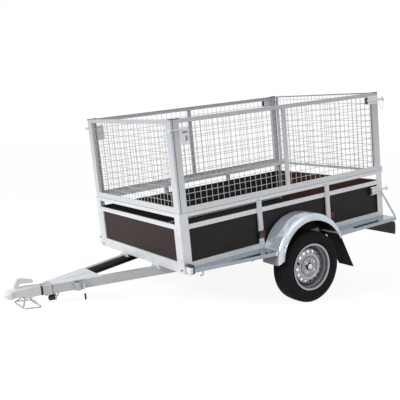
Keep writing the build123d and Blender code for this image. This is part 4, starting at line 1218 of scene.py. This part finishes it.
# Plug: a black moulding with grip rings and rounded ends, parked in the collar of its holder.
# Its lead comes out of the tongue and goes in at the plug's rear end.
plug_low, plug_high = level_box("plug")
plug_radius = plug_high.y
plug_length = plug_high.x - plug_low.x
ring_places = (0.020, 0.026, 0.032, 0.038)
ring_half = 0.0018
ring_sink = 0.0022
tail_round = 0.014
nose_round = 0.018
end_steps = 7
quarter = [math.pi / 2 * step / end_steps for step in range(1, end_steps)]
plug_tail = 0.0060
plug_outline = [(0.0, plug_tail)]
plug_outline += [(tail_round * (1 - math.cos(turn)), plug_radius * math.sin(turn)) for turn in quarter[1:]]
plug_outline.append((tail_round, plug_radius))
for place in ring_places:
    plug_outline += [(place - ring_half, plug_radius), (place - ring_half / 2, plug_radius - ring_sink)]
    plug_outline += [(place + ring_half / 2, plug_radius - ring_sink), (place + ring_half, plug_radius)]
nose_from = plug_length - nose_round
plug_outline.append((nose_from, plug_radius))
plug_outline += [(nose_from + nose_round * math.sin(turn), plug_radius * math.cos(turn)) for turn in quarter]
plug_axis = (plug_low.x, 0.0, (plug_low.z + plug_high.z) / 2)
parked_plug = add_piece(
    "parked_plug", turned("parked_plug", plug_outline, plug_axis, (1.0, 0.0, 0.0)),
    "chassis", black_plastic,
)
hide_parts("plug")


# Lamps and reflectors: clear ribbed lenses in black bodies in front, and red tail lamps with an amber end
# on a black board. On the sides are red-brown reflectors, each a round glass in a black surround.
tail_red = (0.42, 0.013, 0.010)
tail_amber = (0.62, 0.17, 0.012)
amber_from = 0.735
lens_clear = (0.90, 0.91, 0.92)
lens_rib = 0.0005
front_ribs_per_metre = 160.0
tail_ribs_per_metre = 120.0
reflector_ribs_per_metre = 220.0
reflector_red = (0.150, 0.020, 0.014)
reflector_radius = 0.0245
reflector_places = []
for ahead_of_axle in (True, False):
    spots = [to_level @ vertex.co for vertex in frame["nodes"]["reflectors"].data.vertices]
    near = [spot for spot in spots if (spot.x > 0) == ahead_of_axle]
    middle_x = (min(spot.x for spot in near) + max(spot.x for spot in near)) / 2
    middle_z = (min(spot.z for spot in near) + max(spot.z for spot in near)) / 2
    reflector_places.append((middle_x, middle_z))


def ribbed(shade, place, colour, ribs, axis):
    """Moulded lens: glossy, with ribs across it."""
    across = along(shade, place, axis)
    wave = shade.node("Math", {0: across * (ribs * 2 * math.pi)}, operation="SINE")
    cloud = mottle(shade, place, 30.0)
    return {
        "Base Color": cloud.blend([0.75 * c for c in colour], colour),
        "Roughness": 0.14 + cloud * 0.1,
        "Coat Weight": 0.12 + cloud * 0.1,
        "Specular IOR Level": 0.3,
        "Normal": dent(shade, wave, lens_rib),
    }


def clear_lens(shade, place):
    """Front lamps: clear glass over a white cell."""
    return ribbed(shade, place, lens_clear, front_ribs_per_metre, "Y")


def tail_lens(shade, place):
    """Tail lamps: red, with the turn signal's amber at the outer end."""
    looks = ribbed(shade, place, tail_red, tail_ribs_per_metre, "Y")
    outer = off_middle(shade, place) > amber_from
    looks["Base Color"] = outer.blend(looks["Base Color"], tail_amber)
    return looks


def side_reflector(shade, place):
    """Reflectors: a round red glass in a black surround."""
    looks = ribbed(shade, place, reflector_red, reflector_ribs_per_metre, "X")
    glass = 0.0
    for x, z in reflector_places:
        glass = (reach_from(shade, place, x, z) < reflector_radius) + glass
    looks["Base Color"] = glass.blend(plastic_black, looks["Base Color"])
    looks["Roughness"] = 0.45 - glass * 0.25
    looks["Coat Weight"] = glass * 0.2
    looks["Specular IOR Level"] = 0.25
    return looks


lens_glass = finish("clear_lens", clear_lens)
lens_bulge = Vector((0.003, 0.004, 0.003))
lens_square = 0.55


def domed_lenses(name):
    """Both front lenses: the front half of a rounded block, grown a little past the plain one."""
    spots = [to_level @ vertex.co for vertex in frame["nodes"]["front_lamp_lenses"].data.vertices]
    mesh = bmesh.new()
    for side in (1, -1):
        near = [spot for spot in spots if spot.y * side > 0]
        low = Vector([min(spot[k] for spot in near) for k in range(3)])
        high = Vector([max(spot[k] for spot in near) for k in range(3)])
        half = (high - low) / 2 + lens_bulge
        half.x = high.x - low.x + lens_bulge.x
        middle = Vector((low.x, (low.y + high.y) / 2, (low.z + high.z) / 2 - lens_bulge.z))
        ball = bmesh.ops.create_uvsphere(mesh, u_segments=40, v_segments=24, radius=1.0)
        for vertex in ball["verts"]:
            reach = [math.copysign(abs(value) ** lens_square, value) for value in vertex.co]
            vertex.co = middle + Vector((max(reach[0], 0.0) * half.x, reach[1] * half.y, reach[2] * half.z))
    return rounded(plain_mesh(name, mesh))


lens_mesh = domed_lenses("domed_lenses")
lenses = add_piece("domed_lenses", lens_mesh, "chassis", lens_glass)
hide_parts("front_lamp_lenses")
for node in ("front_lamp_bodies", "lamp_board"):
    dress(node, black_plastic)
dress("tail_lamps", finish("tail_lens", tail_lens))
dress("reflectors", finish("side_reflector", side_reflector))


# Bolts: small plated hexagon heads on washers hold the latches, the catches, the clips, the flaps
# and the cage. The coupling's are grey like its pressing, the lamp board's are dark,
# and the tailgate's straps have their own.
to_side = (0.0, 1.0, 0.0)
to_front = (1.0, 0.0, 0.0)
to_rear = (-1.0, 0.0, 0.0)
stile_bolt_height = 0.886
latch_bolts_x = (-0.983, -0.895)
latch_bolt_step = 0.024
catch_bolts_x = (0.903, 0.953)
catch_bolt_height = 1.357
coupling_bolt_places = ((1.897, 0.404), (1.964, 0.401))
coupling_swell = 0.008
clip_bolts_y = (0.228, 0.276)
clip_bolt_height = 0.462
flap_drop = 0.020
flap_sheet = 0.001
flap_bolt_inset = 0.045
flap_bolt_outset = 0.065
board_bolts_y = (0.623, 0.743)
strap_y = 0.430
strap_step = 0.017
strap_bolt_drops = (0.016, 0.046)


def add_bolts(name, places, body, material):
    """A piece of small bolts: each place is a spot and the way that the bolt faces."""
    heads = bolts.grow(name, bolt_points(name + "_places", places), material)
    add_piece(name, heads, body)


def mirrored(places):
    """The same bolts on the left and on the right."""
    return places + [((x, -y, z), (wx, -wy, wz)) for (x, y, z), (wx, wy, wz) in places]


left_bolts = [((side_mesh_middle, cage_high.y, stile_bolt_height), to_side)]
for height, face in latch_levels:
    for x in latch_bolts_x:
        for step in (-latch_bolt_step, latch_bolt_step):
            left_bolts.append(((x, face + latch_sheet, height + step), to_side))
for x in catch_bolts_x:
    left_bolts.append(((x, catch_face, catch_bolt_height), to_side))
coupling_half = level_box("coupling_head")[1].y - coupling_swell
coupling_bolts = [((x, coupling_half, z), to_side) for x, z in coupling_bolt_places]
for y in clip_bolts_y:
    left_bolts.append(((rail_face + clip_sheet, y, clip_bolt_height), to_front))
flap_turn = guard_rear - math.pi
flap_way = (-math.cos(flap_turn), 0.0, -math.sin(flap_turn))
flap_reach = guard_radius - flap_sheet
flap_x = -flap_reach * math.cos(flap_turn) + flap_drop * math.sin(flap_turn)
flap_z = guard_centre - flap_reach * math.sin(flap_turn) - flap_drop * math.cos(flap_turn)
for y in (guard_inner + flap_bolt_inset, guard_outer - flap_bolt_outset):
    left_bolts.append(((flap_x, y, flap_z), flap_way))
board_low, board_high = level_box("lamp_board")
board_middle = (board_low.z + board_high.z) / 2
board_bolts = [((board_high.x, y, board_middle), to_front) for y in board_bolts_y]
add_bolts("chassis_bolts", mirrored(left_bolts), "chassis", plated)
add_bolts("coupling_bolts", mirrored(coupling_bolts), "chassis", coupling_finish)
add_bolts("board_bolts", mirrored(board_bolts), "chassis", hub_iron)
strap_low, strap_high = level_box("tailgate_straps")
strap_face = strap_low.x + strap_step
strap_bolts = [
    ((strap_face, side * strap_y, strap_high.z - drop), to_rear)
    for side in (1, -1)
    for drop in strap_bolt_drops
]
add_bolts("strap_bolts", strap_bolts, "tailgate", plated)


# Floor, light and camera: a pale studio floor under a white surround, a broad key from ahead
# and a weaker fill from the left, and the photograph's viewpoint.
floor_reach = 40.0
floor_grey = (0.62, 0.62, 0.62)
floor_glow = 1.26
floor_glow_share = 0.72
floor_mesh = bpy.data.meshes.new("studio_floor")
floor_mesh.from_pydata(
    [(-floor_reach, -floor_reach, 0), (floor_reach, -floor_reach, 0), (floor_reach, floor_reach, 0),
     (-floor_reach, floor_reach, 0)],
    [],
    [(0, 1, 2, 3)],
)
floor_piece = bpy.data.objects.new("studio_floor", floor_mesh)
bpy.context.scene.collection.objects.link(floor_piece)


def seen_rays(shade):
    """1 for rays that show the surround: straight to the camera, mirrored or through glass."""
    kinds = ("Camera", "Glossy", "Transmission")
    seen = [shade.node("LightPath", output="Is " + kind + " Ray") for kind in kinds]
    either = shade.sum("MAXIMUM", seen[0], seen[1])
    return shade.sum("MAXIMUM", either, seen[2])


floor_material = bpy.data.materials.new("pale_floor")
floor_material.use_nodes = True
floor_tree = floor_material.node_tree
floor_tree.nodes.clear()
floor_shade = Shade(floor_tree)
matt_white = floor_shade.node("BsdfDiffuse", {"Color": floor_grey})
lit_white = floor_shade.node("Emission", {"Color": (1.0, 1.0, 1.0), "Strength": floor_glow})
glow_share = seen_rays(floor_shade) * floor_glow_share
floor_look = floor_shade.node("MixShader", {0: glow_share, 1: matt_white, 2: lit_white})
floor_out = floor_tree.nodes.new("ShaderNodeOutputMaterial")
floor_tree.links.new(floor_look.socket, floor_out.inputs["Surface"])
floor_mesh.materials.append(floor_material)

world = bpy.data.worlds.new("white_surround")
bpy.context.scene.world = world
world.use_nodes = True
world_shade = Shade(world.node_tree)
front_way = (0.94, 0.18, 0.0)
dim_side = 0.10
bright_front = 0.50
bright_top = 0.38
way_out = world_shade.node("TexCoord", output="Generated")


def facing_share(toward):
    """How far the way out faces a direction: 1 straight at it, 0 from the side and behind."""
    vectors = {0: way_out, 1: toward}
    share = world_shade.node("VectorMath", vectors, output="Value", operation="DOT_PRODUCT")
    return world_shade.sum("MAXIMUM", share, 0.0)


room = facing_share(front_way) * bright_front + facing_share((0.0, 0.0, 1.0)) * bright_top + dim_side
shown = seen_rays(world_shade)
world_back = world.node_tree.nodes["Background"]
world_back.inputs["Color"].default_value = (1.0, 1.0, 1.0, 1.0)
world_shade.feed(world_back.inputs["Strength"], shown + (1.0 - shown) * room)


def softbox(name, place, aim, size, power):
    """A square area lamp."""
    lamp = bpy.data.lights.new(name, "AREA")
    lamp.size = size
    lamp.energy = power
    stand = bpy.data.objects.new(name, lamp)
    stand.location = place
    stand.rotation_mode = "QUATERNION"
    stand.rotation_quaternion = (Vector(aim) - Vector(place)).to_track_quat("-Z", "Y")
    bpy.context.scene.collection.objects.link(stand)


body_middle = (-0.4, 0.0, 0.8)
key_place = (6.0, 0.8, 3.2)
key_size = 2.6
key_watts = 290.0
fill_place = (-1.0, 6.0, 4.5)
fill_size = 4.0
fill_watts = 60.0
softbox("front_key", key_place, body_middle, key_size, key_watts)
softbox("left_fill", fill_place, body_middle, fill_size, fill_watts)

camera_place = Vector((3.0265, 4.6311, 1.2597))
camera_aim = Vector((-0.0161, 0.0799, 0.7334))
camera_roll = math.radians(2.09)
camera_lens = 60.86
film_width = 36.0
camera_data = bpy.data.cameras.new("photo_camera")
camera_data.lens = camera_lens
camera_data.sensor_width = film_width
camera = bpy.data.objects.new("photo_camera", camera_data)
camera.location = camera_place
camera.rotation_mode = "QUATERNION"
straight = (camera_aim - camera_place).to_track_quat("-Z", "Y").to_matrix()
camera.rotation_quaternion = (straight @ Matrix.Rotation(camera_roll, 3, "Z")).to_quaternion()
bpy.context.scene.collection.objects.link(camera)
bpy.context.scene.camera = camera
bpy.context.scene.view_settings.view_transform = "Standard"
